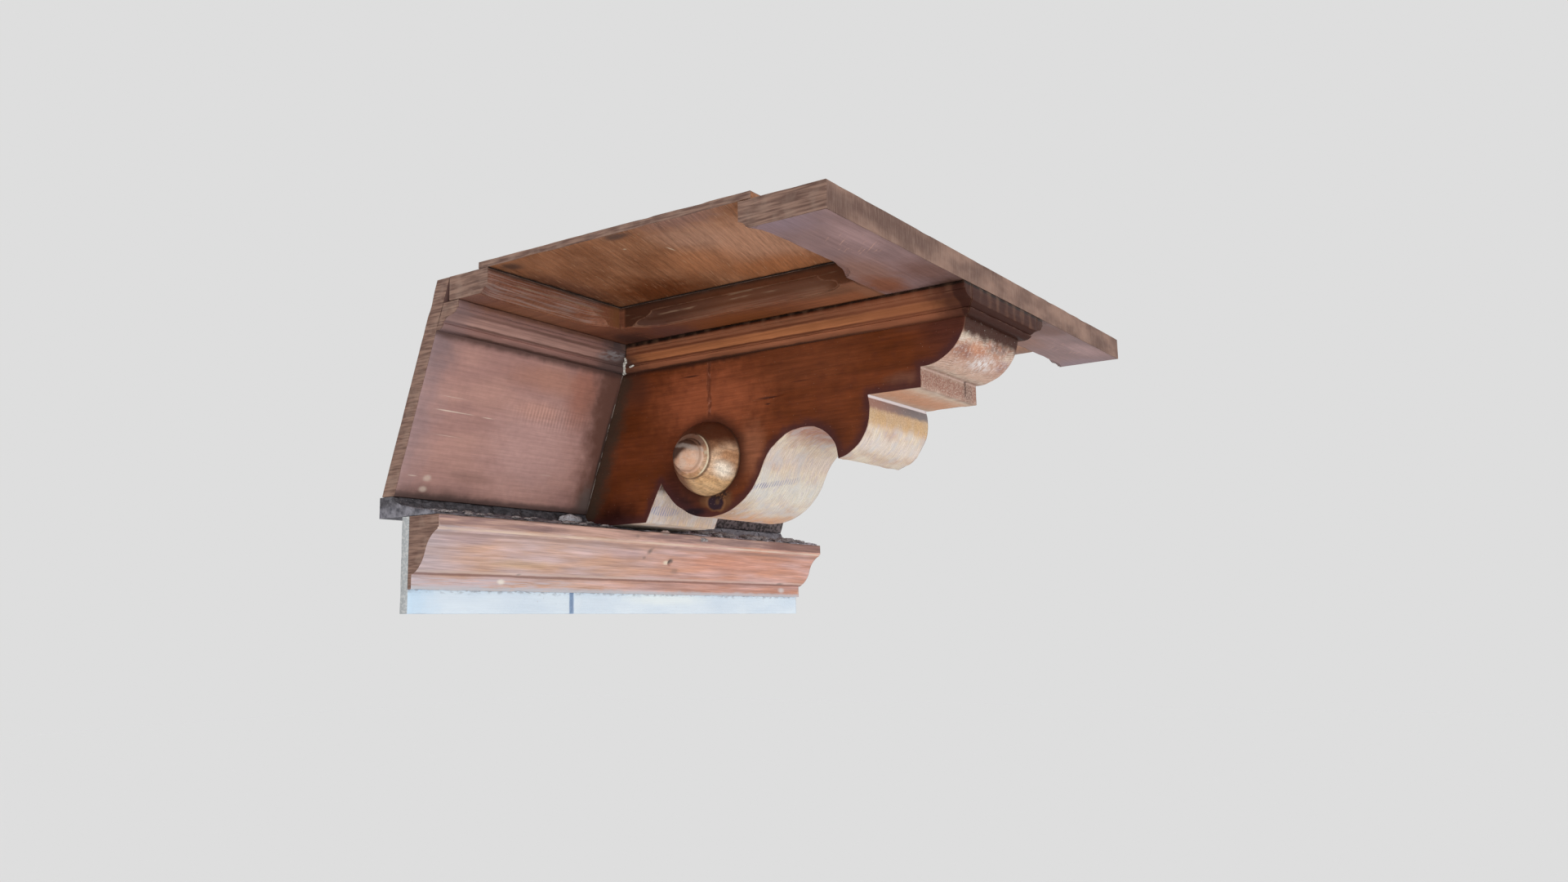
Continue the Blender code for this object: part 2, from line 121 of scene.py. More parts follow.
def sun(name, aim, strength, spread):
    """A wide sun that shines along aim."""
    light = bpy.data.lights.new(name, "SUN")
    light.energy = strength
    light.angle = radians(spread)
    link(name, light).rotation_euler = Vector(aim).to_track_quat("-Z", "Y").to_euler()


sky = bpy.data.worlds.new("even_sky")
sky.use_nodes = True
sky.node_tree.nodes["Background"].inputs["Color"].default_value = (PALE, PALE, PALE, 1)
scene.world = sky
sun("key_sun", (0.75, 0.9, 0.12), 1.1, 35)
sun("fill_sun", (-0.8, 0.7, -0.15), 0.5, 60)
sun("top_sun", (0.25, 0.4, -1.0), 0.8, 60)

bpy.ops.mesh.primitive_plane_add(size=60, location=(0, 0, -FLOOR_DEPTH))
floor = bpy.context.object
floor.name = "floor"
floor.visible_shadow = False
chalk_floor = bpy.data.materials.new("pale_floor")
chalk_floor.use_nodes = True
floor_shader = chalk_floor.node_tree.nodes["Principled BSDF"]
floor_shader.inputs["Base Color"].default_value = (PALE, PALE, PALE, 1)
floor_shader.inputs["Roughness"].default_value = 1.0
floor_shader.inputs["Specular IOR Level"].default_value = 0.0
floor.data.materials.append(chalk_floor)
print("suns:", len(bpy.data.lights), "floor at", -FLOOR_DEPTH)

# %% [markdown]
# The camera stands low and to the left, and looks up along the corbel. Its place was worked
# out from the straight lines of the woodwork, so that every arris falls where the photograph
# has it.
# %% Camera
view = bpy.data.cameras.new("camera")
view.lens = 27.73
view.sensor_width = 36
camera = link("camera", view)
camera.location = (-1.2940, -1.1723, -0.2589)
camera.rotation_euler = (radians(98.826), radians(1.068), radians(-55.888))
scene.camera = camera
print("camera", [round(value, 3) for value in camera.location])

# %% [markdown]
# A finish is written as sums on places: how far along, how high, how near to an arris. Each
# value that varies over the surface is wrapped in a small class, so that a plain Python sum
# builds the nodes that work it out for every point.
# %% Signals


class Signal:
    """A value on its way through a finish. Sums with signals turn into Math nodes."""

    def __init__(self, finish, socket):
        self.finish = finish
        self.socket = socket

    def __add__(self, other):
        return self.finish.maths("ADD", self, other)

    def __sub__(self, other):
        return self.finish.maths("SUBTRACT", self, other)

    def __rsub__(self, other):
        return self.finish.maths("SUBTRACT", other, self)

    def __mul__(self, other):
        return self.finish.maths("MULTIPLY", self, other)

    def __pow__(self, other):
        return self.finish.maths("POWER", self, other)

    def __neg__(self):
        return self.finish.maths("MULTIPLY", self, -1.0)

    def __abs__(self):
        return self.finish.maths("ABSOLUTE", self)

    __radd__ = __add__
    __rmul__ = __mul__


print("signals ready")

# %% [markdown]
# Each finish starts with a ground of two tones and gets its history laid over it: fade(),
# band(), spots() and patch() say where, stain(), lay() and shade() say what, and edge() and
# line() are a fade and a band that wander a little, as nothing on old wood is straight. Grain
# is noise stretched along the wood, and heights in millimetres end up in one bump.
# %% Finishes
ANY = 1e5
RAGGED_SIZE = (15, 15, 15)


class Finish:
    """A material being built up. Places are in millimetres."""

    def __init__(self, name, roughness=0.5, gloss=0.2, mirrored=False):
        self.material = bpy.data.materials.new(name)
        self.material.use_nodes = True
        self.tree = self.material.node_tree
        self.shader = self.tree.nodes["Principled BSDF"]
        self.shader.inputs["Specular IOR Level"].default_value = gloss
        metres = self.node("ShaderNodeTexCoord", {}, {}, "Object")
        self.place = self.node("ShaderNodeVectorMath", {"operation": "MULTIPLY_ADD"},
                               {0: metres, 1: TO_MM, 2: MM_SHIFT}, 0)
        self.x, self.reach, self.rise = self.node("ShaderNodeSeparateXYZ", {}, {0: self.place}, 0, 1, 2)
        self.where = self.place
        if mirrored:
            self.x = -abs(self.x)
            self.where = self.node("ShaderNodeCombineXYZ", {}, {0: self.x, 1: self.reach, 2: self.rise}, 0)
        self.arris = self.node("ShaderNodeAttribute", {"attribute_name": "arris"}, {}, "Fac")
        self.colour = None
        self.rough = roughness
        self.height = 0.0
        self.ragged = self.noise(RAGGED_SIZE, 3.0, 4) - 0.5

    def node(self, kind, settings, sockets, *outputs):
        """Add a node; returns a signal for each output asked for."""
        made = self.tree.nodes.new(kind)
        for key, value in settings.items():
            setattr(made, key, value)
        for key, value in sockets.items():
            socket = made.inputs[key]
            if isinstance(value, Signal):
                self.tree.links.new(value.socket, socket)
            elif socket.type == "RGBA":
                socket.default_value = (*value, 1.0)
            else:
                socket.default_value = value
        signals = [Signal(self, made.outputs[output]) for output in outputs]
        return signals[0] if len(signals) == 1 else signals

    def maths(self, operation, *values):
        """One Math node."""
        return self.node("ShaderNodeMath", {"operation": operation}, dict(enumerate(values)), 0)

    def noise(self, size, seed=0.0, detail=2.0, tilt=(0, 0, 0)):
        """Noise from 0 to 1 with swells of size (x, reach, rise), turned by tilt in degrees."""
        turned = self.node("ShaderNodeMapping", {"vector_type": "TEXTURE"},
                           {0: self.place, 1: [side * seed for side in size],
                            2: [radians(angle) for angle in tilt], 3: size}, 0)
        return self.node("ShaderNodeTexNoise", {}, {"Vector": turned, "Scale": 1.0, "Detail": detail}, 0)

    def fade(self, signal, start, end):
        """0 at start and 1 at end, soft at both; start may be the larger."""
        return self.node("ShaderNodeMapRange", {"interpolation_type": "SMOOTHSTEP"},
                         {0: signal, 1: start, 2: end}, 0)

    def band(self, signal, middle, width, soft=1.0):
        """1 within width round middle."""
        return self.fade(abs(signal - middle), width / 2 + soft, width / 2)

    def edge(self, signal, ragged, start, end):
        """A fade whose line wanders."""
        return self.fade(signal + self.ragged * ragged, start, end)

    def line(self, signal, ragged, middle, width, soft=1.0):
        """A band whose line wanders."""
        return self.band(signal + self.ragged * ragged, middle, width, soft)

    def spots(self, size, seed, detail, start, end):
        """Noise turned into spots: 0 up to start and 1 from end."""
        return self.fade(self.noise(size, seed, detail), start, end)

    def either(self, one, other):
        """1 where one mask or the other is 1."""
        return self.maths("MAXIMUM", one, other)

    def patch(self, middle, size, ragged=0.5, soft=0.8):
        """1 at middle, 0 beyond size, with a ragged soft edge."""
        scaled = self.node("ShaderNodeVectorMath", {"operation": "MULTIPLY_ADD"},
                           {0: self.where, 1: [1 / side for side in size],
                            2: [-at / side for at, side in zip(middle, size)]}, 0)
        away = self.node("ShaderNodeVectorMath", {"operation": "LENGTH"}, {0: scaled}, "Value")
        return self.fade(away + self.ragged * ragged, 1.0, 1.0 - soft)

    def mix(self, share, base, top):
        """The colour between base and top."""
        return self.node("ShaderNodeMix", {"data_type": "RGBA"}, {0: share, 6: base, 7: top}, 2)

    def mix_value(self, share, base, top):
        """The value between base and top."""
        return base + (top - base) * share

    def ground(self, swell, low, high, start=0.3, end=0.7):
        """The first coat: two tones, with a slow noise that goes between them."""
        self.colour = self.mix(self.fade(swell, start, end), low, high)

    def lay(self, *rows):
        """Stain a patch for each row: middle, size, colour, share, then how its edge is."""
        for middle, size, colour, share, *edge in rows:
            self.stain(self.patch(middle, size, *edge), colour, share)

    def stain(self, mask, colour, share=1.0):
        """Lay a colour over what is there."""
        self.colour = self.mix(mask if share == 1.0 else mask * share, self.colour, colour)

    def shade(self, factor):
        """Brighten or darken what is there."""
        self.colour = self.node("ShaderNodeVectorMath", {"operation": "SCALE"},
                                {0: self.colour, 3: factor}, 0)

    def done(self):
        """Join everything to the shader and return the material."""
        if isinstance(self.rough, Signal):
            self.tree.links.new(self.rough.socket, self.shader.inputs["Roughness"])
        else:
            self.shader.inputs["Roughness"].default_value = self.rough
        self.tree.links.new(self.colour.socket, self.shader.inputs["Base Color"])
        relief = {"Strength": 1.0, "Distance": MM, "Height": self.height}
        bumped = self.node("ShaderNodeBump", {}, relief, 0)
        self.tree.links.new(bumped.socket, self.shader.inputs["Normal"])
        print(self.material.name, len(self.tree.nodes), "nodes")
        return self.material


# %% [markdown]
# Wherever the saw went through, the wood is bare: at both ends, at the built-in end and on
# the tops that no one sees. It has greyed a little and shows saw lines. The same goes for
# every wooden finish here, so it is written once.
# %% Sawn faces and grain
RAW = (0.270, 0.165, 0.125)
OLD_RAW = (0.125, 0.070, 0.055)


def wood_grain(finish, along, strength=0.25, seed=0.0, tilt=(0, 0, 0)):
    """Streaks and fine fibres along one axis (0 X, 1 reach), in colour, bump and gloss."""
    streak_size = [3.5, 3.5, 3.5]
    fibre_size = [0.9, 0.9, 0.9]
    streak_size[along] = 90
    fibre_size[along] = 22
    streaks = finish.noise(streak_size, seed + 1, 3, tilt)
    fibres = finish.noise(fibre_size, seed + 2, 2, tilt)
    finish.shade(1 + (streaks - 0.5) * (2.2 * strength) + (fibres - 0.5) * (1.5 * strength))
    finish.height = finish.height + streaks * 0.12 + fibres * 0.1
    finish.rough = finish.rough + (streaks - 0.5) * 0.25
    return streaks


def at_cut(finish, signal, cut):
    """1 within a millimetre of a flat saw cut."""
    return finish.fade(signal, cut - 1.2, cut - 0.9)

def above(finish, level):
    """1 on the top face of a piece that ends at level."""
    return finish.fade(finish.rise, level - 1.5, level - 1)

def sawn(finish, hidden=0.0, front=ANY):
    """Bare sawn wood on the cut ends, and where hidden is 1."""
    ends = at_cut(finish, abs(finish.x), cut_x)
    cut_front = at_cut(finish, finish.reach, front)
    edge_grain = finish.noise((30, 30, 2.2), 5, 3)
    top_grain = finish.noise((70, 2.6, 30), 9, 3)
    saw_marks = finish.noise((1.2, 14, 14), 7, 2)
    grain = finish.mix_value(ends, top_grain, edge_grain)
    bare = finish.mix(finish.fade(grain, 0.32, 0.68), OLD_RAW, RAW)
    bare = finish.mix(finish.fade(saw_marks, 0.45, 0.7) * 0.25, bare, (0.34, 0.24, 0.19))
    cut = finish.either(finish.either(ends, cut_front), hidden)
    finish.colour = finish.mix(cut, finish.colour, bare)
    finish.height = finish.height + cut * saw_marks * 0.5
    finish.rough = finish.rough + cut * 0.25


# %% [markdown]
# The corbel's sides have a deep red-brown varnish, redder and thinner where hands and weather
# reached it above the boss. Painted shade darkens them where they meet the board and under
# the bed moulding, and a painted shadow rings the boss. Its carved underside was rubbed bare
# long ago and has bleached to cream and tan. A blue-black knot sits low on the scroll.
# %% Corbel varnish
BOARD_SLOPE = 0.354
BOARD_COSINE = 0.943
BOARD_FOOT = 17.7
BOSS_REACH, BOSS_RISE = 213, 75
FILLET_REACH = 519
TIP_REACH = 578


def side_varnish(f):
    """Lay the varnish, knot, checks and dust of the corbel's sides, with painted shade and a painted
    shadow.
    """
    drift = f.noise((60, 120, 45), 4, 3)
    f.ground(drift, (0.128, 0.031, 0.008), (0.185, 0.047, 0.016), 0.35, 0.7)
    f.lay(
        ((0, 215, 152), (ANY, 130, 75), (0.330, 0.094, 0.040), 1.0),
        ((0, 360, 178), (ANY, 120, 40), (0.190, 0.054, 0.021), 0.8),
        ((0, 278, 82), (ANY, 32, 52), (0.280, 0.100, 0.050), 1.0),
        ((0, 500, 142), (ANY, 40, 14), (0.170, 0.068, 0.043), 0.8),
        ((0, 385, 82), (ANY, 45, 48), (0.085, 0.022, 0.008), 0.9),
        ((0, 560, 200), (ANY, 60, 60), (0.088, 0.025, 0.016), 0.9),
        ((0, 50, 0), (ANY, 70, 46), (0.036, 0.009, 0.006), 1.0),
        ((0, 152, 40), (ANY, 26, 46), (0.070, 0.019, 0.012), 0.9),
        ((0, 160, 12), (ANY, 60, 42), (0.038, 0.014, 0.013), 1.0))
    wood_grain(f, 1, 0.34, 2.0)
    blotches = f.noise((14, 22, 12), 31, 3)
    f.shade(0.72 + blotches * 0.56)
    # Painted shadow: a dark ring on the side round the boss.
    axis_away = ((f.reach - BOSS_REACH) ** 2 + (f.rise - BOSS_RISE) ** 2) ** 0.5
    f.stain(f.edge(axis_away, 18, 66, 48), (0.055, 0.018, 0.011), 0.75)
    # Painted shade: darker where the side meets the board, and under the bed moulding.
    from_board = (f.reach - (f.rise - BOARD_FOOT) * BOARD_SLOPE) * BOARD_COSINE
    f.stain(f.edge(from_board, 26, 34, 6), (0.062, 0.040, 0.028), 0.9)
    f.stain(f.edge(f.rise, 5, 198, 204) * f.edge(f.reach, 60, 330, 250),
            (0.045, 0.016, 0.010), 0.85)
    carved = f.arris * f.fade(f.rise, 196, 180)
    f.stain(f.edge(carved, 0.9, -0.1, 0.9), (0.066, 0.022, 0.022), 0.85)
    f.lay(
        ((0, 92, 180), (ANY, 30, 40), (0.075, 0.028, 0.018), 0.6),
        ((0, 510, 204), (ANY, 34, 10), (0.150, 0.045, 0.024), 0.6))
    chips = f.line(f.reach, 9, 212, 3, 3) * f.band(f.rise, 165, 64, 8)
    chipped = f.spots((5, 5, 9), 9, 3, 0.52, 0.62)
    f.stain(chips * chipped, (0.36, 0.17, 0.12), 0.5)
    f.stain(chips * (1 - chipped), (0.09, 0.03, 0.018), 0.5)
    for reach, rise, long, wide in ((184, 187, 20, 1.6), (306, 144, 24, 1.8), (304, 136, 6, 1.5),
                                    (354, 159, 22, 0.8), (250, 98, 14, 0.8), (155, 92, 12, 0.7)):
        f.stain(f.patch((0, reach, rise), (ANY, long, wide), 0.5), (0.035, 0.012, 0.010), 0.8)
    f.lay(
        ((0, 224, 21), (ANY, 33, 17), (0.150, 0.066, 0.030), 0.9, 0.9, 0.5),
        ((0, 221, 19), (ANY, 18, 14), (0.260, 0.120, 0.055), 0.6, 0.7, 0.3),
        ((0, 220, 18), (ANY, 14, 11), (0.020, 0.012, 0.024), 0.93, 0.8, 0.3),
        ((0, 223, 20), (ANY, 5, 6), (0.140, 0.070, 0.035), 0.6, 0.9, 0.6))
    knot_specks = f.patch((0, 227, 29), (ANY, 20, 10), 0.6, 0.5) * f.spots((5, 4, 3), 33, 3, 0.43, 0.54)
    f.stain(knot_specks, (0.030, 0.016, 0.014), 0.85)
    f.stain(f.patch((0, 186, 9), (ANY, 36, 8), 0.6), (0.018, 0.010, 0.014))
    dust = f.spots((2.2, 2.2, 2.2), 12, 1, 0.74, 0.78)
    f.stain(dust, (0.34, 0.20, 0.15), 0.5)

print("side varnish written round the boss at", BOSS_REACH, BOSS_RISE)

# %% [markdown]
# The underside was rubbed and rained on until the varnish went. Cream, tan and rust-brown
# follow the curves of the outline, so each patch is placed by its reach and rise. The plane
# left fine combed lines across, and the grain shows as rings.
# %% Corbel underside

def bleached_wood(f, rings, fine, combed):
    """Lay the bare wood of the underside, from the root to the ovolo."""
    tints = f.noise((34, 22, 22), 14, 3)
    f.ground(tints, (0.60, 0.45, 0.36), (0.73, 0.62, 0.50), 0.35, 0.65)
    f.lay(
        ((0, 112, 20), (ANY, 26, 40), (0.54, 0.44, 0.38), 1.0),
        ((20, 105, 0), (60, 20, 14), (0.60, 0.42, 0.28), 0.8),
        ((0, 134, 47), (ANY, 20, 14), (0.12, 0.070, 0.052), 1.0),
        ((0, 205, 0), (ANY, 60, 26), (0.66, 0.35, 0.20), 0.9),
        ((-70, 225, 10), (50, 60, 40), (0.40, 0.25, 0.17), 0.6),
        ((0, 275, 38), (ANY, 36, 34), (0.68, 0.64, 0.57), 0.9),
        ((0, 302, 72), (ANY, 16, 18), (0.70, 0.59, 0.52), 0.8),
        ((0, 350, 104), (ANY, 40, 26), (0.47, 0.25, 0.19), 1.0),
        ((0, 432, 78), (ANY, 16, 16), (0.72, 0.62, 0.55), 0.9),
        ((0, 448, 104), (ANY, 16, 15), (0.62, 0.41, 0.23), 0.9),
        ((0, 478, 127), (ANY, 44, 12), (0.62, 0.33, 0.21), 1.0),
        ((0, 520, 141), (ANY, 12, 24), (0.31, 0.165, 0.125), 1.0),
        ((50, 520, 141), (22, 10, 20), (0.25, 0.165, 0.135), 0.9),
        ((0, 550, 165), (ANY, 34, 20), (0.56, 0.36, 0.28), 1.0),
        ((0, 537, 158), (ANY, 12, 8), (0.66, 0.45, 0.35), 0.9),
        ((-8, 562, 175), (46, 14, 9), (0.44, 0.19, 0.13), 0.8),
        ((60, 560, 172), (24, 16, 12), (0.40, 0.28, 0.27), 0.9),
        ((-48, 562, 172), (44, 16, 14), (0.30, 0.145, 0.115), 0.9),
        ((24, 572, 184), (60, 14, 12), (0.24, 0.13, 0.11), 0.8),
        ((-22, 567, 177), (34, 12, 10), (0.58, 0.27, 0.16), 0.8))
    f.shade(1.02 + rings * 0.06 + (fine - 0.5) * 0.5 + (combed - 0.5) * 0.7)
    pale_part = f.fade(f.reach, 512, 500) * f.fade(f.rise, 126.5, 125)
    f.stain(f.spots((2.6, 14, 14), 27, 3, 0.53, 0.64) * pale_part, (0.76, 0.58, 0.34), 0.25)
    f.stain(f.spots((3.2, 11, 11), 35, 3, 0.54, 0.66) * pale_part, (0.52, 0.45, 0.54), 0.35)
    f.stain(f.spots((24, 24, 24), 39, 2, 0.50, 0.66) * pale_part, (0.60, 0.60, 0.62), 0.4)
    gold = f.fade(f.rise + f.ragged * 6 + combed * 6, 96, 108) * f.fade(f.reach, 432, 438) * pale_part
    f.stain(gold, f.mix(f.fade(fine, 0.3, 0.7), (0.46, 0.29, 0.15), (0.68, 0.48, 0.27)), 0.75)

def tip_marks(f, bend_of_rings, fine):
    """Rings, mottles and flaked paint on the tip, and the fillet's speckled face."""
    crossing = f.maths("SINE", (f.rise * 1.3 + f.reach * 0.6 - f.x * 0.4 + bend_of_rings * 40) * 1.5)
    tip_part = f.fade(f.reach, FILLET_REACH + 0.5, FILLET_REACH + 4)
    broken = f.spots((16, 9, 9), 49, 3, 0.40, 0.60)
    f.stain(f.fade(crossing + fine, 0.8, 1.4) * tip_part * broken, (0.25, 0.13, 0.10), 0.6)
    mottled = f.spots((13, 8, 6), 51, 3, 0.46, 0.60) * tip_part * f.fade(f.rise, 160, 170)
    f.stain(mottled, (0.46, 0.22, 0.14), 0.6)
    f.stain(f.spots((5, 5, 3), 43, 3, 0.54, 0.62) * tip_part, (0.76, 0.62, 0.56), 0.35)
    flakes = f.spots((4, 7, 5), 47, 5, 0.34, 0.62)
    flaked = f.patch((12, 556, 166), (46, 18, 16), 0.4, 0.9) * flakes
    f.stain(flaked, (0.84, 0.80, 0.79), 0.85)
    f.stain(f.edge(f.rise, 16, 182, 194) * tip_part, (0.050, 0.015, 0.010), 0.97)
    at_fillet = f.band(f.reach, FILLET_REACH, 3, 1.5)
    fillet_face = at_fillet * f.fade(f.rise, 127, 131)
    speckle = f.spots((3, 3, 2), 29, 3, 0.48, 0.58) * fillet_face
    f.stain(speckle, (0.52, 0.38, 0.31), 0.6)
    f.stain(at_fillet * f.fade(f.rise, 151.5, 153), (0.66, 0.50, 0.44), 0.6)
    crack = f.line(f.x, 12, 42, 2.0, 2.5) * fillet_face * f.fade(f.rise, 132, 140)
    f.stain(crack, (0.10, 0.055, 0.045), 0.75)

def tool_marks(f, combed):
    """Blue ticks of the plane, the dark band under the ovolo's crease and its white edge."""
    ticks = f.maths("SINE", f.x * 1.3 + f.ragged * 2)
    arch_row = f.band(f.rise - f.x * 0.17 + f.ragged * 3, 46.5, 4, 2.5) * f.band(f.reach, 286, 10, 6)
    root_row = f.patch((-48, 113, 16.5), (38, 14, 7), 0.3, 0.3)
    tick_rows = f.either(arch_row * f.fade(f.x, 30, -10), root_row)
    faint = 0.5 + f.spots((14, 14, 14), 53, 2, 0.4, 0.6) * 0.4
    f.stain(f.fade(ticks, -0.3, 0.6) * tick_rows * faint, (0.27, 0.27, 0.40))
    below_crease = f.fade(f.rise + f.ragged * 6 + combed * 5, 114, 121) * f.band(f.reach, 449, 10, 4)
    below_crease = below_crease * f.fade(f.rise, 127.8, 127)
    f.stain(below_crease, f.mix(f.fade(f.x, -70, 40), (0.34, 0.19, 0.16), (0.20, 0.19, 0.21)), 0.9)
    f.stain(f.fade(f.rise, 126.2, 127.2) * f.band(f.reach, 448.5, 3, 0.8), (0.86, 0.82, 0.84), 0.85)
    f.stain(f.fade(abs(f.x) + f.ragged * 4, 72, 75), (0.25, 0.12, 0.07), 0.6)
    flecks = f.spots((4, 4, 4), 23, 3, 0.66, 0.74)
    f.stain(flecks, (0.86, 0.80, 0.74), 0.45)

print("bare wood written, with the fillet at reach", FILLET_REACH)

# %% [markdown]
# Both looks meet at the arris. The side of the corbel is where a face looks along X, so the
# share of X in the face's own direction picks between the varnish and the bare wood.
# %% Corbel finish

def corbel_varnish():
    """Red-brown varnish on the sides, bleached wood underneath."""
    f = Finish("red_brown_corbel_varnish", gloss=0.1)
    side_varnish(f)
    varnished = f.colour
    bend_of_rings = f.noise((60, 120, 60), 17, 1)
    rings = f.maths("SINE", (f.x + f.rise * 0.3 + bend_of_rings * 30) * 1.6)
    fine = f.noise((1.6, 1.6, 1.6), 19, 3)
    combed = f.noise((1.8, 16, 16), 20, 3)
    bleached_wood(f, rings, fine, combed)
    tip_marks(f, bend_of_rings, fine)
    tool_marks(f, combed)
    bare = f.colour
    facing = f.node("ShaderNodeNewGeometry", {}, {}, "Normal")
    across = f.node("ShaderNodeSeparateXYZ", {}, {0: facing}, "X")
    on_side = f.fade(abs(across) + f.ragged * 0.3, 0.45, 0.65)
    f.colour = f.mix(on_side, bare, varnished)
    f.rough = f.mix_value(on_side, 0.7, f.rough)
    f.height = f.height + (1 - on_side) * (rings * 0.04 + fine * 0.25 + combed * 0.25)
    f.height = f.height + f.noise((9, 30, 9), 25, 3) * 0.5
    built_in = f.fade(f.reach, 1 - BUILT_IN_MM, 0.5 - BUILT_IN_MM)
    sawn(f, f.either(above(f, corbel_top), built_in))
    return f.done()


corbel_finish = corbel_varnish()

# %% [markdown]
# The frieze boards were planed, varnished, and have gone dusky: mauve in the middle of each
# board, and nearly black near the corbel, which is painted shade. A painted shadow lies under
# the bed moulding. The plane left a patch of ripples, and something scraped the left board.
# %% Frieze boards


def board_varnish():
    """Dusky old varnish over planed boards."""
    f = Finish("dusky_board_varnish", 0.55, mirrored=True)
    drift = f.noise((90, 40, 40), 4, 3)
    f.ground(drift, (0.400, 0.225, 0.200), (0.510, 0.290, 0.245))
    f.lay(
        ((-205, 0, 95), (110, ANY, 90), (0.565, 0.345, 0.315), 0.85),
        ((-210, 0, 138), (60, ANY, 18), (0.590, 0.330, 0.270), 0.8),
        ((-200, 0, 178), (110, ANY, 24), (0.480, 0.245, 0.185), 0.8),
        ((-140, 0, 170), (40, ANY, 60), (0.410, 0.180, 0.130), 0.8),
        ((-400, 0, 190), (60, ANY, 60), (0.230, 0.160, 0.165), 0.9),
        ((-405, 0, 100), (60, ANY, 150), (0.320, 0.215, 0.215), 0.8),
        ((-340, 0, 15), (140, ANY, 24), (0.185, 0.107, 0.090), 0.9),
        ((-290, 0, 47), (50, ANY, 9), (0.330, 0.185, 0.155), 0.6))
    wood_grain(f, 0, 0.19, 2.0)
    f.shade(0.88 + f.noise((7, 7, 7), 33, 4) * 0.24)
    # Painted shade: the board goes nearly black towards the corbel.
    shade_toward_corbel = f.x + f.ragged * 46 + f.fade(f.rise, 80, 130) * 14
    f.stain(f.fade(shade_toward_corbel, -130, -80), (0.150, 0.070, 0.052), 0.96)
    f.stain(f.patch((-84, 0, 30), (28, ANY, 40)), (0.140, 0.112, 0.102), 0.8)
    f.stain(f.edge(f.rise, 6, 28, 20), (0.085, 0.055, 0.050), 0.8)
    # Painted shadow under the bed moulding.
    f.stain(f.edge(f.rise, 7, 194, 203), (0.085, 0.045, 0.038), 0.85)
    f.stain(f.patch((-78, 0, 100), (5, ANY, 110), 0.5), (0.055, 0.036, 0.030), 0.85)
    caulk = f.band(f.x, -76.5, 1.2, 0.8) * f.spots((3, 14, 14), 31, 2, 0.45, 0.52)
    f.stain(caulk, (0.46, 0.40, 0.35), 0.6)
    for x, rise, long, wide, share in ((-342, 120, 36, 1.0, 1.0), (-290, 119.4, 13, 0.6, 0.8),
                                       (-350, 136, 28, 0.5, 0.5), (-345, 92, 30, 0.5, 0.5),
                                       (-356, 42, 9, 5.5, 0.6), (-359, 29, 8, 4.5, 0.6),
                                       (-379, 43, 10, 0.9, 0.7), (-170, 62, 18, 0.5, 0.4)):
        f.stain(f.patch((x, 0, rise), (long, ANY, wide), 0.8), (0.74, 0.60, 0.50), share)
    ripple = f.maths("SINE", f.x * (2 * pi / 5.5) + f.ragged * 1.5)
    planed = f.patch((-185, 0, 134), (90, ANY, 22), 0.5)
    f.shade(1 + ripple * planed * 0.09)
    f.height = f.height + ripple * planed * 0.12 + drift * 0.8
    f.stain(f.edge(f.arris, 0.2, 0.90, 0.975), (0.12, 0.07, 0.06), 0.5)
    in_place = f.node("ShaderNodeSeparateXYZ", {}, {0: f.place}, 0)
    smeared = f.fade(in_place, 60, 70) * f.edge(f.rise, 6, 44, 38)
    lumps = f.spots((7, 5, 5), 37, 4, 0.38, 0.6)
    f.stain(smeared, f.mix(lumps, (0.022, 0.018, 0.019), (0.150, 0.120, 0.125)), 0.95)
    behind = f.reach - (f.rise - BOARD_FOOT) * BOARD_SLOPE
    sawn(f, f.fade(behind, -18, -19))
    return f.done()


board_finish = board_varnish()

# %% [markdown]
# The bed moulding runs level, so its marks follow its rise: dark quirks, a light line where
# the round was rubbed, and painted shade at the very top, under the soffit, and along its foot.
# It is mauve on the boards and orange-brown on the corbel, and painted shade darkens both
# runs towards the inner mitre.
# %% Bed moulding
BED_FOOT = 204


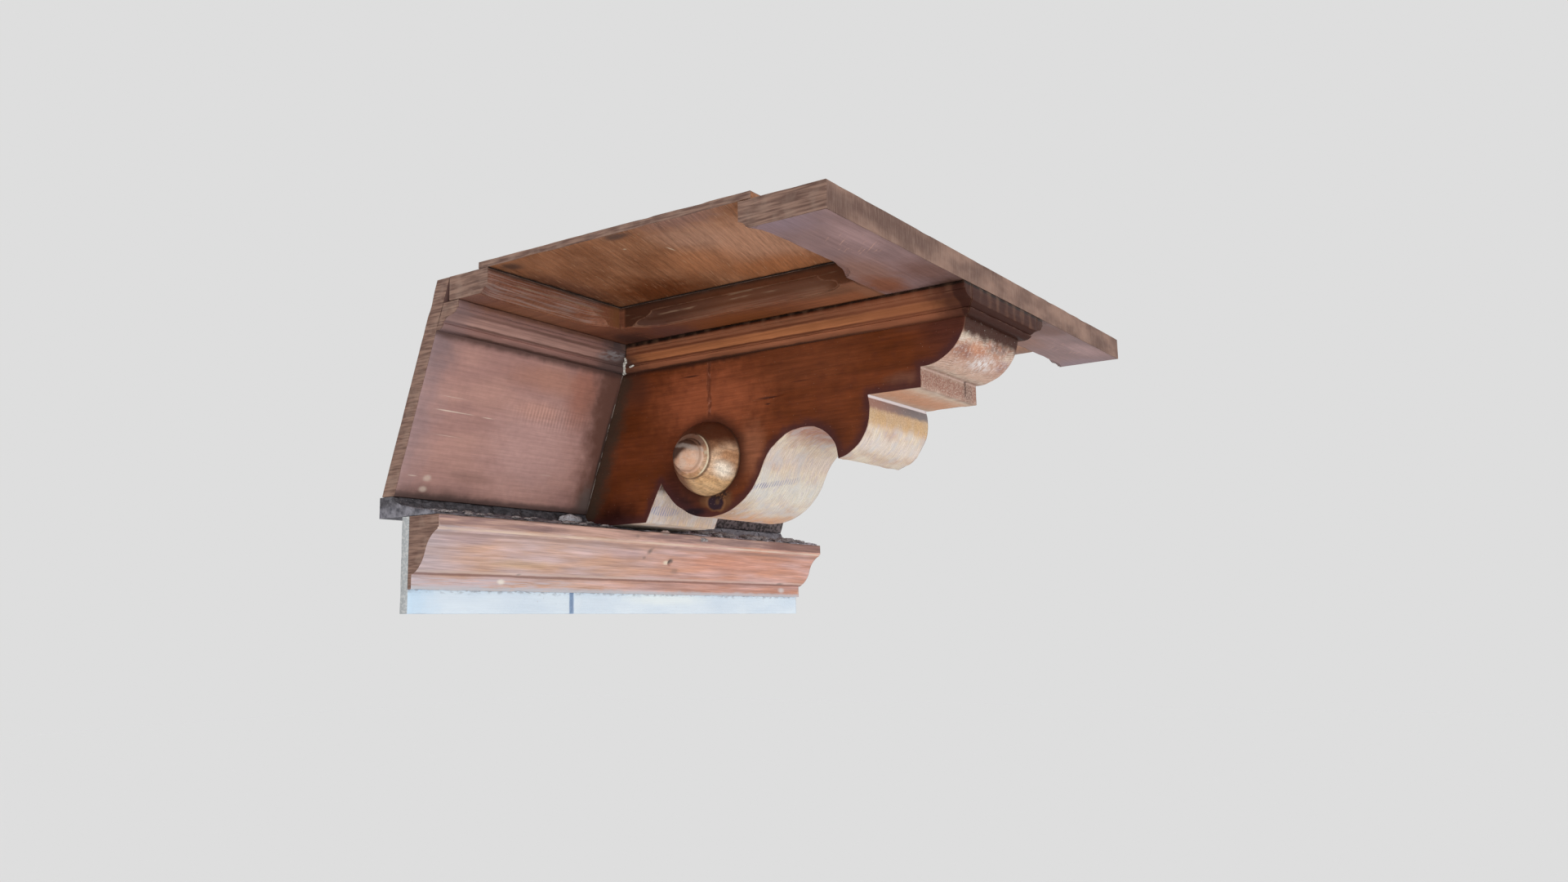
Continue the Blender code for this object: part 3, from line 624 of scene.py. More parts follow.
def bed_varnish(name, on_board, along):
    """Moulding varnish in lines along the run, which goes along X (0) or reach (1)."""
    f = Finish(name, gloss=0.2 if on_board else 0.05, mirrored=True)
    up = f.rise - BED_FOOT
    # soot below is the colour laid as painted shade at the top of the moulding.
    if on_board:
        low, rubbed = (0.240, 0.128, 0.108), (0.42, 0.245, 0.205)
        quirk, soot = (0.175, 0.090, 0.072), (0.180, 0.088, 0.064)
    else:
        low, rubbed = (0.250, 0.094, 0.048), (0.43, 0.165, 0.070)
        quirk, soot = (0.150, 0.050, 0.024), (0.078, 0.020, 0.008)
    drift = f.noise((70, 70, 30), 3, 3)
    f.colour = f.mix(f.band(up, 6, 3, 3), low, [1.25 * part for part in low])
    f.stain(f.line(up, 1.2, 13, 3.5, 3), rubbed)
    f.stain(f.line(up, 1.2, 9.3, 0.8, 1.2), quirk)
    f.stain(f.line(up, 1.2, 18, 0.9, 1.4), quirk)
    # Painted shade at the very top, where the moulding meets the soffit.
    f.stain(f.edge(up, 3, 24, 27.5), soot)
    if not on_board:
        # Painted shade, darker still at the top of the runs on the corbel.
        f.stain(f.fade(up, 28.4, 29.8), (0.024, 0.008, 0.005), 0.92)
    f.shade(0.72 + drift * 0.56)
    wood_grain(f, along, 0.36, 4.0)
    # Painted shadow along the foot of the moulding.
    f.stain(f.edge(up, 1.5, 1.6, 0.4), (0.05, 0.025, 0.018), 0.8)
    if on_board:
        # Painted shade: this stain, the next and the near-black one by the mitre darken the run towards the
        # corbel.
        f.stain(f.edge(f.x, 40, -175, -120) * f.fade(up, 12, 26), (0.050, 0.040, 0.045), 0.9)
        f.stain(f.edge(f.x, 30, -165, -115), (0.095, 0.066, 0.062), 0.8)
        hazy = f.patch((-125, 0, 219), (34, ANY, 6)) * f.spots((9, 9, 3), 43, 3, 0.4, 0.6)
        f.stain(hazy, (0.34, 0.33, 0.34), 0.7)
        f.stain(f.edge(f.x, 8, -114, -104) * f.fade(up, 14, 18), (0.02, 0.02, 0.022), 0.9)
        f.stain(f.patch((-395, 0, 215), (50, ANY, 40)), (0.225, 0.150, 0.150), 0.6)
    else:
        # Painted shade towards the inner mitre.
        f.stain(f.edge(f.reach, 40, 130, 85), (0.105, 0.045, 0.030), 0.8)
        f.stain(f.edge(f.reach, 60, 380, 500), (0.250, 0.085, 0.042), 0.5)
        f.stain(f.edge(f.reach, 30, 530, 575), (0.062, 0.021, 0.014), 0.85)
        f.stain(f.fade(f.reach, TIP_REACH, TIP_REACH + 4), (0.040, 0.013, 0.009), 0.85)
        # Painted shade: a near-black strip along the top, under the soffit.
        f.stain(f.edge(up, 3, 24, 28) * f.edge(f.reach, 60, 290, 200),
                (0.012, 0.007, 0.006), 0.9)
        f.stain(f.edge(up, 1.5, 27, 28.5), (0.014, 0.008, 0.006), 0.9)
    f.stain(f.patch((-96, 87, 213), (15, 15, 12), 0.6), (0.045, 0.032, 0.030), 0.7)
    f.stain(f.edge(f.arris, 0.15, 0.92, 0.98), (0.30, 0.15, 0.09), 0.2)
    sawn(f)
    return f.done()


board_bed_finish = bed_varnish("mauve_bed_moulding_varnish", True, 0)
corbel_bed_finish = bed_varnish("brown_bed_moulding_varnish", False, 1)
tip_bed_finish = bed_varnish("dark_tip_moulding_varnish", False, 0)

# %% [markdown]
# The soffit's frame carries brown varnish. Its front part is golden, which is painted light,
# and its inner corner is nearly black, which is painted shade, as are the darker parts of the
# ogee towards the corner. The stopped ogee along the coffer is rubbed grey, and the light lines
# along it are painted highlights.
# %% Soffit varnish


def soffit_varnish():
    """Brown varnish of the rail along the wall and the board over the corbel."""
    f = Finish("brown_soffit_varnish", mirrored=True)
    drift = f.noise((60, 60, 30), 3, 3)
    f.ground(drift, (0.175, 0.062, 0.034), (0.245, 0.092, 0.050))
    # The golden row at reach 470 is painted light; the dark rows at reach 130 and 185, in the inner corner,
    # are painted shade.
    f.lay(
        ((-290, 113, 235), (110, 40, ANY), (0.265, 0.112, 0.062), 0.8),
        ((-400, 115, 240), (60, 60, ANY), (0.190, 0.095, 0.075), 0.8),
        ((-120, 470, 235), (70, 150, 12), (0.345, 0.125, 0.058), 1.0),
        ((-120, 300, 235), (60, 120, 12), (0.235, 0.073, 0.022), 0.9),
        ((-160, 450, 235), (30, 80, 12), (0.205, 0.095, 0.054), 0.8),
        ((-125, 130, 240), (60, 40, ANY), (0.078, 0.032, 0.023), 1.0),
        ((-140, 185, 250), (30, 90, 26), (0.115, 0.046, 0.034), 0.7))
    wood_grain(f, 0, 0.12, 3.0)
    lengthwise = f.noise((3.0, 80, 3.0), 6, 3)
    f.shade(1 + (lengthwise - 0.5) * 0.9)
    on_ogee = f.edge(f.rise, 2, 236, 237.5)
    worn_grey = f.spots((70, 70, 1.3), 13, 3, 0.42, 0.62)
    f.stain(on_ogee * worn_grey * f.fade(f.reach, 175, 150) * f.fade(f.x, -205, -225),
            (0.34, 0.25, 0.22), 0.55)
    f.stain(on_ogee * worn_grey * f.fade(f.reach, 175, 200) * f.fade(f.rise, 252, 244),
            (0.30, 0.16, 0.10), 0.5)
    # Painted shade on the ogee, towards the cross board and towards the wall.
    f.stain(on_ogee * f.fade(f.reach, 155, 160) * f.fade(f.x, -150, -170), (0.115, 0.038, 0.015), 0.9)
    f.stain(on_ogee * f.edge(f.reach, 60, 330, 200) * f.fade(f.reach, 155, 160),
            (0.055, 0.020, 0.012), 0.7)
    # Painted highlights: light lines along the ogee.
    uneven_rise = f.rise + f.ragged * 1.2
    lines = f.band(uneven_rise, 252, 1.0, 0.8) + f.band(uneven_rise, 246.5, 0.8, 0.8)
    f.stain(lines * f.spots((50, 50, 8), 15, 2, 0.50, 0.62), (0.38, 0.25, 0.16), 0.4)
    # Painted shade deep in the coffer.
    f.stain(f.edge(f.rise, 3, 257, 263) * 0.8, (0.030, 0.015, 0.010))
    stop_end = f.patch((-168, 156, 250), (40, 26, 40)) * on_ogee * f.fade(f.x, -176, -180)
    f.stain(stop_end, (0.21, 0.085, 0.030), 0.9)
    f.stain(f.line(f.reach, 2, 493.5, 1.2, 1.4), (0.05, 0.02, 0.012), 0.8)
    f.lay(
        ((-120, 195, 235), (60, 45, 6), (0.150, 0.062, 0.050), 0.8),
        ((-130, 490, 235), (60, 22, 6), (0.320, 0.150, 0.090), 0.6))
    f.stain(f.edge(f.arris, 0.2, 0.90, 0.975), (0.30, 0.15, 0.09), 0.4)
    f.height = f.height + drift * 0.5
    sawn(f, above(f, soffit_top))
    return f.done()


def rail_varnish():
    """The front rail: weathered to mauve-grey by the light, with pink scrapes."""
    f = Finish("weathered_rail_varnish", 0.55, mirrored=True)
    drift = f.noise((80, 40, 40), 3, 3)
    f.ground(drift, (0.270, 0.170, 0.165), (0.350, 0.215, 0.205))
    f.lay(
        ((-310, 575, 0), (70, 24, ANY), (0.430, 0.272, 0.265), 0.9),
        ((-400, 540, 0), (60, 60, ANY), (0.290, 0.200, 0.225), 0.9),
        ((-200, 525, 0), (90, 45, ANY), (0.300, 0.155, 0.115), 0.8),
        ((-255, 500, 0), (60, 20, ANY), (0.210, 0.118, 0.100), 0.8),
        ((-145, 515, 0), (60, 34, ANY), (0.280, 0.105, 0.058), 0.95),
        ((-170, 580, 0), (60, 40, ANY), (0.190, 0.092, 0.070), 0.8),
        ((-100, 585, 0), (55, 60, ANY), (0.090, 0.040, 0.027), 0.95))
    wood_grain(f, 0, 0.26, 5.0)
    scrapes = f.fade(f.noise((2.6, 26, 9), 8, 3, (0, 0, 42)), 0.60, 0.68)
    f.stain(scrapes * f.patch((-285, 562, 0), (60, 32, ANY), 0.5), (0.62, 0.36, 0.28), 0.8)
    f.stain(f.edge(f.arris, 0.2, 0.88, 0.97), (0.16, 0.09, 0.075), 0.5)
    f.height = f.height + drift * 0.6
    sawn(f, above(f, soffit_top), front_cut)
    return f.done()


def panel_varnish():
    """Umber panels with slanting grain, golden towards the front as painted light, and dark in the inner
    corner and along the inner edges as painted shade.
    """
    f = Finish("golden_panel_varnish", mirrored=True)
    drift = f.noise((70, 30, 30), 3, 3, (0, 0, -18))
    f.ground(drift, (0.250, 0.098, 0.042), (0.340, 0.150, 0.074))
    # The golden rows towards the front are painted light; the two dark rows by the inner corner are painted
    # shade.
    f.lay(
        ((-290, 440, 0), (120, 110, ANY), (0.560, 0.290, 0.180), 0.9),
        ((-270, 350, 0), (70, 70, ANY), (0.420, 0.175, 0.080), 0.8),
        ((-200, 410, 0), (60, 90, ANY), (0.420, 0.160, 0.064), 0.9),
        ((-340, 390, 0), (60, 60, ANY), (0.420, 0.230, 0.155), 0.7),
        ((-395, 420, 0), (40, 70, ANY), (0.270, 0.145, 0.115), 0.8),
        ((-195, 235, 0), (90, 105, ANY), (0.135, 0.036, 0.008), 0.95),
        ((-280, 160, 0), (120, 36, ANY), (0.110, 0.038, 0.019), 0.8))
    tilt = (0, 0, -17)
    streaks = f.noise((80, 3.2, 3.2), 5, 3, tilt)
    fibres = f.noise((16, 1.0, 1.0), 6, 2, tilt)
    f.shade(1 + (streaks - 0.5) * 1.0 + (fibres - 0.5) * 0.8)
    light = f.fade(f.noise((26, 1.6, 1.6), 9, 2, tilt), 0.62, 0.72)
    f.stain(light, (0.60, 0.36, 0.22), 0.45)
    f.lay(
        ((-388, 332, 0), (13, 26, ANY), (0.120, 0.064, 0.046), 0.95),
        ((-380, 172, 0), (18, 18, ANY), (0.060, 0.034, 0.026), 0.8),
        ((-322, 352, 0), (11, 2, ANY), (0.66, 0.50, 0.36), 0.9, 0.4),
        ((-351, 312, 0), (3, 3, ANY), (0.62, 0.46, 0.32), 0.9, 0.4))
    # Painted shade along the coffer's inner edges, by the wall rail and the cross board.
    f.stain(f.edge(f.reach, 8, 158, 148), (0.035, 0.016, 0.011), 0.9)
    f.stain(f.edge(f.x, 8, -182, -174), (0.060, 0.024, 0.013), 0.9)
    f.rough = f.rough + (streaks - 0.5) * 0.2
    f.height = f.height + streaks * 0.25 + fibres * 0.15 + drift * 0.8
    sawn(f, above(f, panel_top))
    return f.done()


soffit_finish = soffit_varnish()
rail_finish = rail_varnish()
panel_finish = panel_varnish()

# %% [markdown]
# The moulding below has a thin salmon wash, pinker on the left, more orange on the right, with
# a cream line where the top lip is rubbed and a skirt worn white along its lower edge. It
# kept a nail hole and several dents.
# %% Wall moulding wash


def salmon_wash():
    """Thin salmon paint over wood, in lines along the run."""
    f = Finish("salmon_wash", 0.6)
    rightward = f.edge(f.x, 60, -200, 200)
    drift = f.noise((110, 16, 13), 3, 3)
    # The drift between the two tones is partly the wash's own unevenness and partly painted sheen, in the
    # lilac-pink tone.
    left = f.mix(f.fade(drift, 0.3, 0.7), (0.545, 0.335, 0.245), (0.575, 0.425, 0.415))
    right = f.mix(f.fade(drift, 0.3, 0.7), (0.545, 0.270, 0.190), (0.630, 0.385, 0.345))
    f.colour = f.mix(rightward, left, right)
    f.stain(f.edge(f.x, 30, -330, -395), (0.440, 0.365, 0.385), 0.7)
    # The first two rows, lilac on the upper part of the cyma, are painted sheen.
    f.lay(
        ((-340, 0, -32), (70, ANY, 9), (0.450, 0.330, 0.350), 0.6, 0.6),
        ((-60, 0, -38), (60, ANY, 9), (0.480, 0.340, 0.350), 0.6, 0.6),
        ((-250, 0, -58), (80, ANY, 9), (0.600, 0.390, 0.240), 0.6, 0.6),
        ((180, 0, -45), (160, ANY, 16), (0.560, 0.250, 0.160), 0.6, 0.6),
        ((60, 0, -80), (120, ANY, 8), (0.600, 0.360, 0.310), 0.6, 0.6))
    lip = f.edge(f.rise, 1.5, -20.5, -18.5)
    mottled = f.spots((70, 9, 5), 11, 4, 0.38, 0.64)
    f.stain(lip, f.mix(mottled, (0.310, 0.195, 0.180), (0.500, 0.320, 0.265)))
    crumbs = f.patch((-2, 0, -8), (14, ANY, 5)) + f.patch((87, 0, -12), (12, ANY, 4))
    f.stain(crumbs * lip, (0.30, 0.25, 0.23), 0.8)
    f.stain(lip * f.edge(f.x, 40, 200, 280), (0.220, 0.110, 0.090), 0.8)
    f.stain(lip * f.patch((-140, 0, -14), (100, ANY, ANY)), (0.62, 0.39, 0.32), 0.85)
    wood_grain(f, 0, 0.2, 3.0)
    hairs = f.noise((60, 0.9, 0.9), 35, 3, (0, 1.5, 0))
    f.shade(0.14 + f.noise((90, 7, 4.5), 33, 4) * 0.87 + hairs * 0.85)
    cream = f.spots((60, 8, 8), 13, 3, 0.35, 0.55)
    f.stain(f.line(f.rise, 0.8, -23, 1.8, 0.8) * (0.5 + cream * 0.5), (0.74, 0.58, 0.47), 0.85)
    f.shade(1 - f.fade(f.x, -100, 60) * f.fade(f.rise, -72, -76) * f.fade(f.rise, -86, -83) * 0.12)
    f.stain(f.edge(f.rise, 2, -25.5, -27) * f.fade(f.rise, -31, -28), (0.30, 0.19, 0.16), 0.5)
    f.stain(f.line(f.rise, 1.0, -72, 1.2, 1.2), (0.255, 0.140, 0.115), 0.75)
    f.stain(f.line(f.rise, 1.5, -69.5, 1.2, 1.4), (0.66, 0.52, 0.46), 0.45)
    pale = f.spots((34, 3, 1.4), 17, 4, 0.42, 0.58)
    worn_skirt = f.fade(f.rise, -74, -78) * f.edge(f.x, 80, -60, -200)
    f.stain(worn_skirt * pale, (0.56, 0.49, 0.52), 0.8)
    f.stain(f.edge(f.rise, 5, -83.5, -88.5), (0.50, 0.51, 0.55), 0.85)
    f.lay(
        ((-262, 0, -79), (9, ANY, 4.5), (0.80, 0.74, 0.66), 0.95),
        ((345, 0, -80), (13, ANY, 6), (0.62, 0.55, 0.54), 0.9),
        ((25, 0, -47), (9, ANY, 4), (0.74, 0.64, 0.50), 0.9))
    for x, rise, long, tall, share in ((33, -45, 8, 5, 0.95), (-18, -33, 8, 6, 0.7), (-24, -42, 5, 3, 0.5),
                                       (50, -58, 12, 6, 0.35), (-240, -70, 7, 2, 0.5),
                                       (330, -70, 14, 2, 0.6), (-60, -15, 6, 4, 0.4)):
        f.stain(f.patch((x, 0, rise), (long, ANY, tall), 0.7), (0.155, 0.125, 0.110), share)
    f.stain(f.edge(f.rise, 1.2, -8.6, -7), (0.14, 0.10, 0.10), 0.7)
    f.stain(f.edge(f.arris, 0.3, 0.89, 0.975), (0.66, 0.50, 0.42), 0.35)
    f.height = f.height + drift * 0.4
    sawn(f, above(f, moulding_top))
    return f.done()


salmon_finish = salmon_wash()

# %% [markdown]
# Below comes a strip of wall: plaster with a chalky pale blue paint, brush marks level with
# the moulding, soot caught under it, and one upright joint filled with blue-grey pointing.
# The bed under the boards is charcoal mortar, with one patch where someone smeared it white.
# %% Paint, pointing and mortar


def wall_paint():
    """Chalky pale blue paint on plaster."""
    f = Finish("chalky_pale_blue_paint")
    drift = f.noise((70, 30, 30), 3, 4)
    f.ground(drift, (0.640, 0.735, 0.830), (0.715, 0.800, 0.870), 0.25, 0.75)
    f.stain(f.patch((60, 0, -97), (130, ANY, 12)), (0.790, 0.855, 0.860), 0.8)
    f.stain(f.edge(f.x, 40, -340, -395), (0.540, 0.700, 0.850), 0.8)
    brush = f.noise((60, 1.5, 1.5), 5, 3)
    f.shade(0.93 + brush * 0.14)
    rubbed = f.spots((9, 4, 3), 7, 4, 0.45, 0.62)
    f.stain(f.edge(f.rise, 8, -95, -90) * rubbed, (0.34, 0.35, 0.38), 0.7)
    f.stain(f.spots((5, 5, 5), 9, 3, 0.70, 0.76), (0.50, 0.52, 0.55), 0.5)
    f.stain(f.line(f.x, 1.5, -133.5, 7.5, 1.0), (0.30, 0.40, 0.56), 0.9)
    plaster = f.mix(rubbed, (0.36, 0.37, 0.37), (0.50, 0.50, 0.49))
    ends = at_cut(f, abs(f.x), cut_x)
    bare = f.either(ends, f.fade(f.reach, wall_back + 1, wall_back + 0.5))
    f.stain(bare, plaster, 0.95)
    f.rough = 0.75 + brush * 0.1
    f.height = f.height + brush * 0.3 + f.noise((3, 3, 3), 11, 3) * 0.4 + drift
    return f.done()


def pointing():
    """Matt blue-grey joint filling."""
    f = Finish("blue_grey_pointing", gloss=0.1)
    grit = f.noise((2, 2, 2), 3, 4)
    f.colour = f.mix(grit, (0.185, 0.255, 0.385), (0.315, 0.430, 0.610))
    f.height = grit * 0.8
    f.rough = 0.8 + grit * 0.15
    return f.done()


def charcoal_mortar():
    """Rough dark mortar with sand in it and a white smear."""
    f = Finish("charcoal_mortar", gloss=0.15)
    lumps = f.noise((14, 10, 8), 3, 4)
    grit = f.noise((2.2, 2.2, 2.2), 5, 3)
    f.ground(lumps, (0.075, 0.073, 0.086), (0.250, 0.240, 0.270))
    f.stain(f.fade(f.reach, 14, 4) * f.fade(f.rise, 2, 10), (0.06, 0.055, 0.06), 0.8)
    f.shade(0.6 + grit * 0.8)
    f.shade(1 + f.edge(f.x, 40, 50, 110) * 2.4)
    f.lay(
        ((-126, 14, 2), (30, 14, 14), (0.50, 0.52, 0.57), 0.7, 0.9, 0.5),
        ((-160, 44, 0), (44, 26, ANY), (0.44, 0.44, 0.47), 0.8, 0.9, 0.5))
    f.stain(f.spots((3, 3, 3), 7, 2, 0.68, 0.74), (0.42, 0.40, 0.40), 0.5)
    f.stain(f.patch((150, 60, 5), (110, 60, 30)), (0.110, 0.082, 0.088), 0.3)
    stones = f.spots((9, 8, 6), 15, 3, 0.50, 0.60)
    f.stain(stones * f.edge(f.x, 60, -60, 20), (0.36, 0.33, 0.35), 0.8)
    f.stain(stones, (0.20, 0.19, 0.21), 0.4)
    f.height = lumps * 2.5 + grit * 1.4
    f.rough = 0.85 + grit * 0.12
    return f.done()


wall_finish = wall_paint()
joint_finish = pointing()
mortar_finish = charcoal_mortar()

# %% [markdown]
# The turned bosses lost most of their varnish. Grain runs into them, so the dome shows the
# growth rings as slanting bands, golden below and umber above, where painted shade darkens
# the last of the varnish. A painted highlight sits low on the outer side. Dirt is packed round
# the collar, the foot is darker where it meets the corbel, and the nose is darker on its upper
# side.
# %% Boss wood


def boss_wood():
    """Bare turned wood, ochre and tan, with traces of varnish."""
    f = Finish("bare_turned_wood", mirrored=True)
    drift = f.noise((26, 18, 18), 3, 3)
    f.ground(drift, (0.430, 0.225, 0.115), (0.600, 0.390, 0.250), 0.35, 0.65)
    f.stain(f.edge(f.rise, 20, 62, 38), (0.580, 0.350, 0.160), 0.7)
    # Painted highlight: a whitish patch low on the outer side of the dome.
    f.stain(f.patch((-98, 250, 56), (30, 15, 17)), (0.80, 0.70, 0.58), 0.9)
    rings = f.maths("SINE", (f.reach * 0.5 + f.rise * 0.8 + drift * 26) * 0.75)
    fine = f.noise((1.4, 9, 1.4), 7, 3)
    f.shade(1 + rings * 0.14 + (fine - 0.5) * 0.8)
    # Painted shade over the upper side of the dome, on top of the last of the varnish.
    to_top = (f.rise - BOSS_RISE) * 0.85 - (f.reach - BOSS_REACH) * 0.35
    f.stain(f.edge(to_top, 16, -14, 8), (0.082, 0.022, 0.009), 0.97)
    f.stain(f.edge(f.reach, 14, 212, 192), (0.170, 0.070, 0.038), 0.85)
    f.stain(f.band(f.x, -111.8, 1.2, 1.2), (0.10, 0.050, 0.030), 0.7)
    f.stain(f.band(f.x, -114.4, 3.0, 0.8) * f.fade(f.reach, 222, 232), (0.74, 0.64, 0.46), 0.85)
    nose = f.fade(f.x, -116.0, -118.0)
    nose_wood = f.mix(f.fade(drift, 0.4, 0.6), (0.66, 0.38, 0.25), (0.66, 0.46, 0.35))
    f.stain(nose, nose_wood, 0.95)
    f.shade(1 + (fine - 0.5) * 0.4)
    # Darker over the upper side of the nose.
    darker_nose_top = f.fade(f.rise + (BOSS_REACH - f.reach) * 0.5 + f.ragged * 14, 70, 80)
    f.stain(nose * darker_nose_top, (0.050, 0.020, 0.012), 0.95)
    f.stain(nose * f.band(f.rise + f.reach * 0.3 + f.ragged * 9, 150, 2, 3), (0.40, 0.34, 0.30), 0.6)
    f.stain(f.band(f.x, -121, 1.5, 2.0) * nose, (0.30, 0.17, 0.11), 0.5)
    # Darker at the foot, where the boss meets the corbel.
    f.stain(f.edge(f.x, 3, -80, -76), (0.060, 0.026, 0.016), 0.9)
    f.stain(f.spots((2, 2, 2), 13, 2, 0.68, 0.74), (0.10, 0.05, 0.03), 0.7)
    f.rough = 0.42 + fine * 0.2
    turning = f.maths("SINE", f.x * 5.0)
    f.height = f.height + turning * 0.05 + fine * 0.25
    return f.done()


boss_finish = boss_wood()

# %% [markdown]
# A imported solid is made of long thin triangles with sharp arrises. To age it, its triangles
# are first joined into the flat faces that a joiner would see, the arrises are rounded, and
# the faces are diced by planes square to the axes. Dicing keeps every profile exactly and
# gives small even cells, which a subdivision surface wouldn't: it would pull the mouldings
# out of shape.
# %% Mesh helpers
ARRIS_ANGLE = radians(30)


def welded(node):
    """A node's solid as one closed mesh, with the triangles of each flat face joined."""
    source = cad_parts[node].data
    bm = bmesh.new()
    corners = [bm.verts.new(vertex.co) for vertex in source.vertices]
    for face in source.polygons:
        bm.faces.new([corners[i] for i in face.vertices])
    bmesh.ops.remove_doubles(bm, verts=bm.verts, dist=0.002 * MM)
    bmesh.ops.dissolve_limit(bm, angle_limit=radians(0.3), verts=bm.verts, edges=bm.edges)
    return bm


def arrises(bm):
    """The sharp outer edges."""
    return [edge for edge in bm.edges
            if edge.is_manifold and edge.is_convex and edge.calc_face_angle() > ARRIS_ANGLE]


def soften(bm, radius):
    """Round the arrises; inner corners stay sharp."""
    bmesh.ops.bevel(bm, geom=arrises(bm), offset=radius * MM, segments=2, profile=0.5,
                    affect="EDGES", clamp_overlap=True)


def steps(start, end, pitch):
    """Even places from start to end, no further apart than pitch."""
    count = max(1, ceil((end - start) / pitch))
    return [start + (end - start) * i / count for i in range(count + 1)]


def dice(bm, axis, places):
    """Cut every face along planes square to an axis (0 X, 1 reach, 2 rise)."""
    normal = Vector((0, 0, 0))
    normal[axis] = 1
    for place in places:
        point = normal * (place - MM_SHIFT[axis]) / TO_MM[axis]
        bmesh.ops.bisect_plane(bm, geom=bm.verts[:] + bm.edges[:] + bm.faces[:],
                               dist=0.01 * MM, plane_co=point, plane_no=normal)


def dice_all(bm, pitch):
    """Dice a whole solid evenly on all three axes."""
    for axis in range(3):
        places = [in_mm(vertex.co)[axis] for vertex in bm.verts]
        dice(bm, axis, steps(min(places), max(places), pitch[axis])[1:-1])


def press_in(bm, depth_at):
    """Move each vertex inwards by depth_at(place in mm, normal), in millimetres."""
    bm.normal_update()
    moves = [vertex.normal * (depth_at(in_mm(vertex.co), vertex.normal) * MM) for vertex in bm.verts]
    for vertex, move in zip(bm.verts, moves):
        vertex.co -= move


def bridge(bm, rings):
    """Join rings of vertices with four-cornered faces."""
    for lower, upper in zip(rings, rings[1:]):
        for k in range(len(lower)):
            bm.faces.new((lower[k - 1], lower[k], upper[k], upper[k - 1]))

def wander(place, size, seed):
    """Smooth noise from -1 to 1 whose swells are about size millimetres long."""
    return noise.noise(Vector([place[i] / size[i] + seed for i in range(3)]))


print("solids to age:", sorted(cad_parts))

# %% [markdown]
# Old arrises aren't evenly round. They are knocked here and there, and a knock takes a
# shallow bite. A tree of points along the arrises tells how near a vertex is to one of them,
# and slow noise decides where the bites are.
# %% Worn arrises


def arris_tree(bm, pitch=3 * MM):
    """Points along the arrises, ready to be searched."""
    points = []
    for edge in arrises(bm):
        start, end = edge.verts[0].co, edge.verts[1].co
        points += [start.lerp(end, share) for share in steps(0, 1, pitch / max(edge.calc_length(), pitch))]
    tree = KDTree(len(points))
    for i, point in enumerate(points):
        tree.insert(point, i)
    tree.balance()
    return tree


def worn(tree, depth, width, seed):
    """A depth_at that bites into the arrises and leaves the faces slightly uneven."""
    def depth_at(place, normal):
        metres = Vector([(place[i] - MM_SHIFT[i]) / TO_MM[i] for i in range(3)])
        near = exp(-(tree.find(metres)[2] / (width * MM)) ** 2)
        knock = max(0.0, wander(place, (23, 23, 23), seed) * 1.6 - 0.15)
        swell = 0.5 + 0.5 * wander(place, (60, 60, 60), seed + 5)
        return depth * near * knock + 0.15 * swell
    return depth_at


SMOOTH_BELOW = radians(50)
ARRIS_SPREAD = 14 * MM

def piece(name, bm, material, node=None, tree=None):
    """A finished piece that rides on the one body, in place of its node if it has one."""
    mesh = bpy.data.meshes.new(name)
    for vertex in bm.verts:
        vertex.co.x = max(-cut_x * MM, min(cut_x * MM, vertex.co.x))
    bmesh.ops.recalc_face_normals(bm, faces=bm.faces)
    bm.to_mesh(mesh)
    bm.free()
    nearness = mesh.attributes.new("arris", "FLOAT", "POINT")
    if tree:
        for vertex in mesh.vertices:
            away = tree.find(vertex.co)[2] / ARRIS_SPREAD
            nearness.data[vertex.index].value = max(0.0, 1 - away)
    mesh.shade_smooth()
    mesh.set_sharp_from_angle(angle=SMOOTH_BELOW)
    mesh.materials.append(material)
    made = link(name, mesh)
    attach(made, "root")
    if node:
        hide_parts(node)
    print(name, len(mesh.polygons), "faces")
    return made


def aged(node, name, material, pitch, arris=0.8, bite=1.2, seed=1.0):
    """The plain way to age a solid: soften, dice, wear."""
    bm = welded(node)
    tree = arris_tree(bm)
    soften(bm, arris)
    dice_all(bm, pitch)
    press_in(bm, worn(tree, bite, 5, seed))
    return piece(name, bm, material, node, tree)


# %% [markdown]
# The corbel is one thick plank end, band-sawn to its outline. The sawn curves are rebuilt
# here from the solid's own facets: two neighbouring facets that meet at a small angle belong
# to one curve, and the angle tells how far the true curve stands out from the facet.
# %% Rounding an outline
FACET_ANGLE = radians(16)
FACET_LENGTH = 14


def side_outline(bm):
    """The corners of a run's end face, in order, as (reach, rise)."""
    end = min(bm.faces, key=lambda face: face.normal.x * face.calc_area())
    return [in_mm(vertex.co).yz for vertex in end.verts]


def bend(before, here, after):
    """The signed angle by which an outline turns at a corner."""
    return (here - before).angle_signed(after - here)


def rounded(outline, parts=4, closed=True):
    """An outline with its faceted curves filled in; straight runs and corners stay."""
    count = len(outline)
    turns = [bend(outline[i - 1], outline[i], outline[(i + 1) % count]) for i in range(count)]
    if not closed:
        turns[0] = turns[-1] = pi
    filled = []
    for i in range(count if closed else count - 1):
        start, end = outline[i], outline[(i + 1) % count]
        curved = [turn for turn in (turns[i], turns[(i + 1) % count]) if abs(turn) < FACET_ANGLE]
        filled.append(start)
        if curved and (end - start).length < FACET_LENGTH:
            turn = sum(curved) / len(curved)
            side = Vector((start.y - end.y, end.x - start.x))
            for k in range(1, parts):
                share = k / parts
                filled.append(start.lerp(end, share) + side * (turn * share * (1 - share) / 2))
    return filled if closed else filled + [outline[-1]]


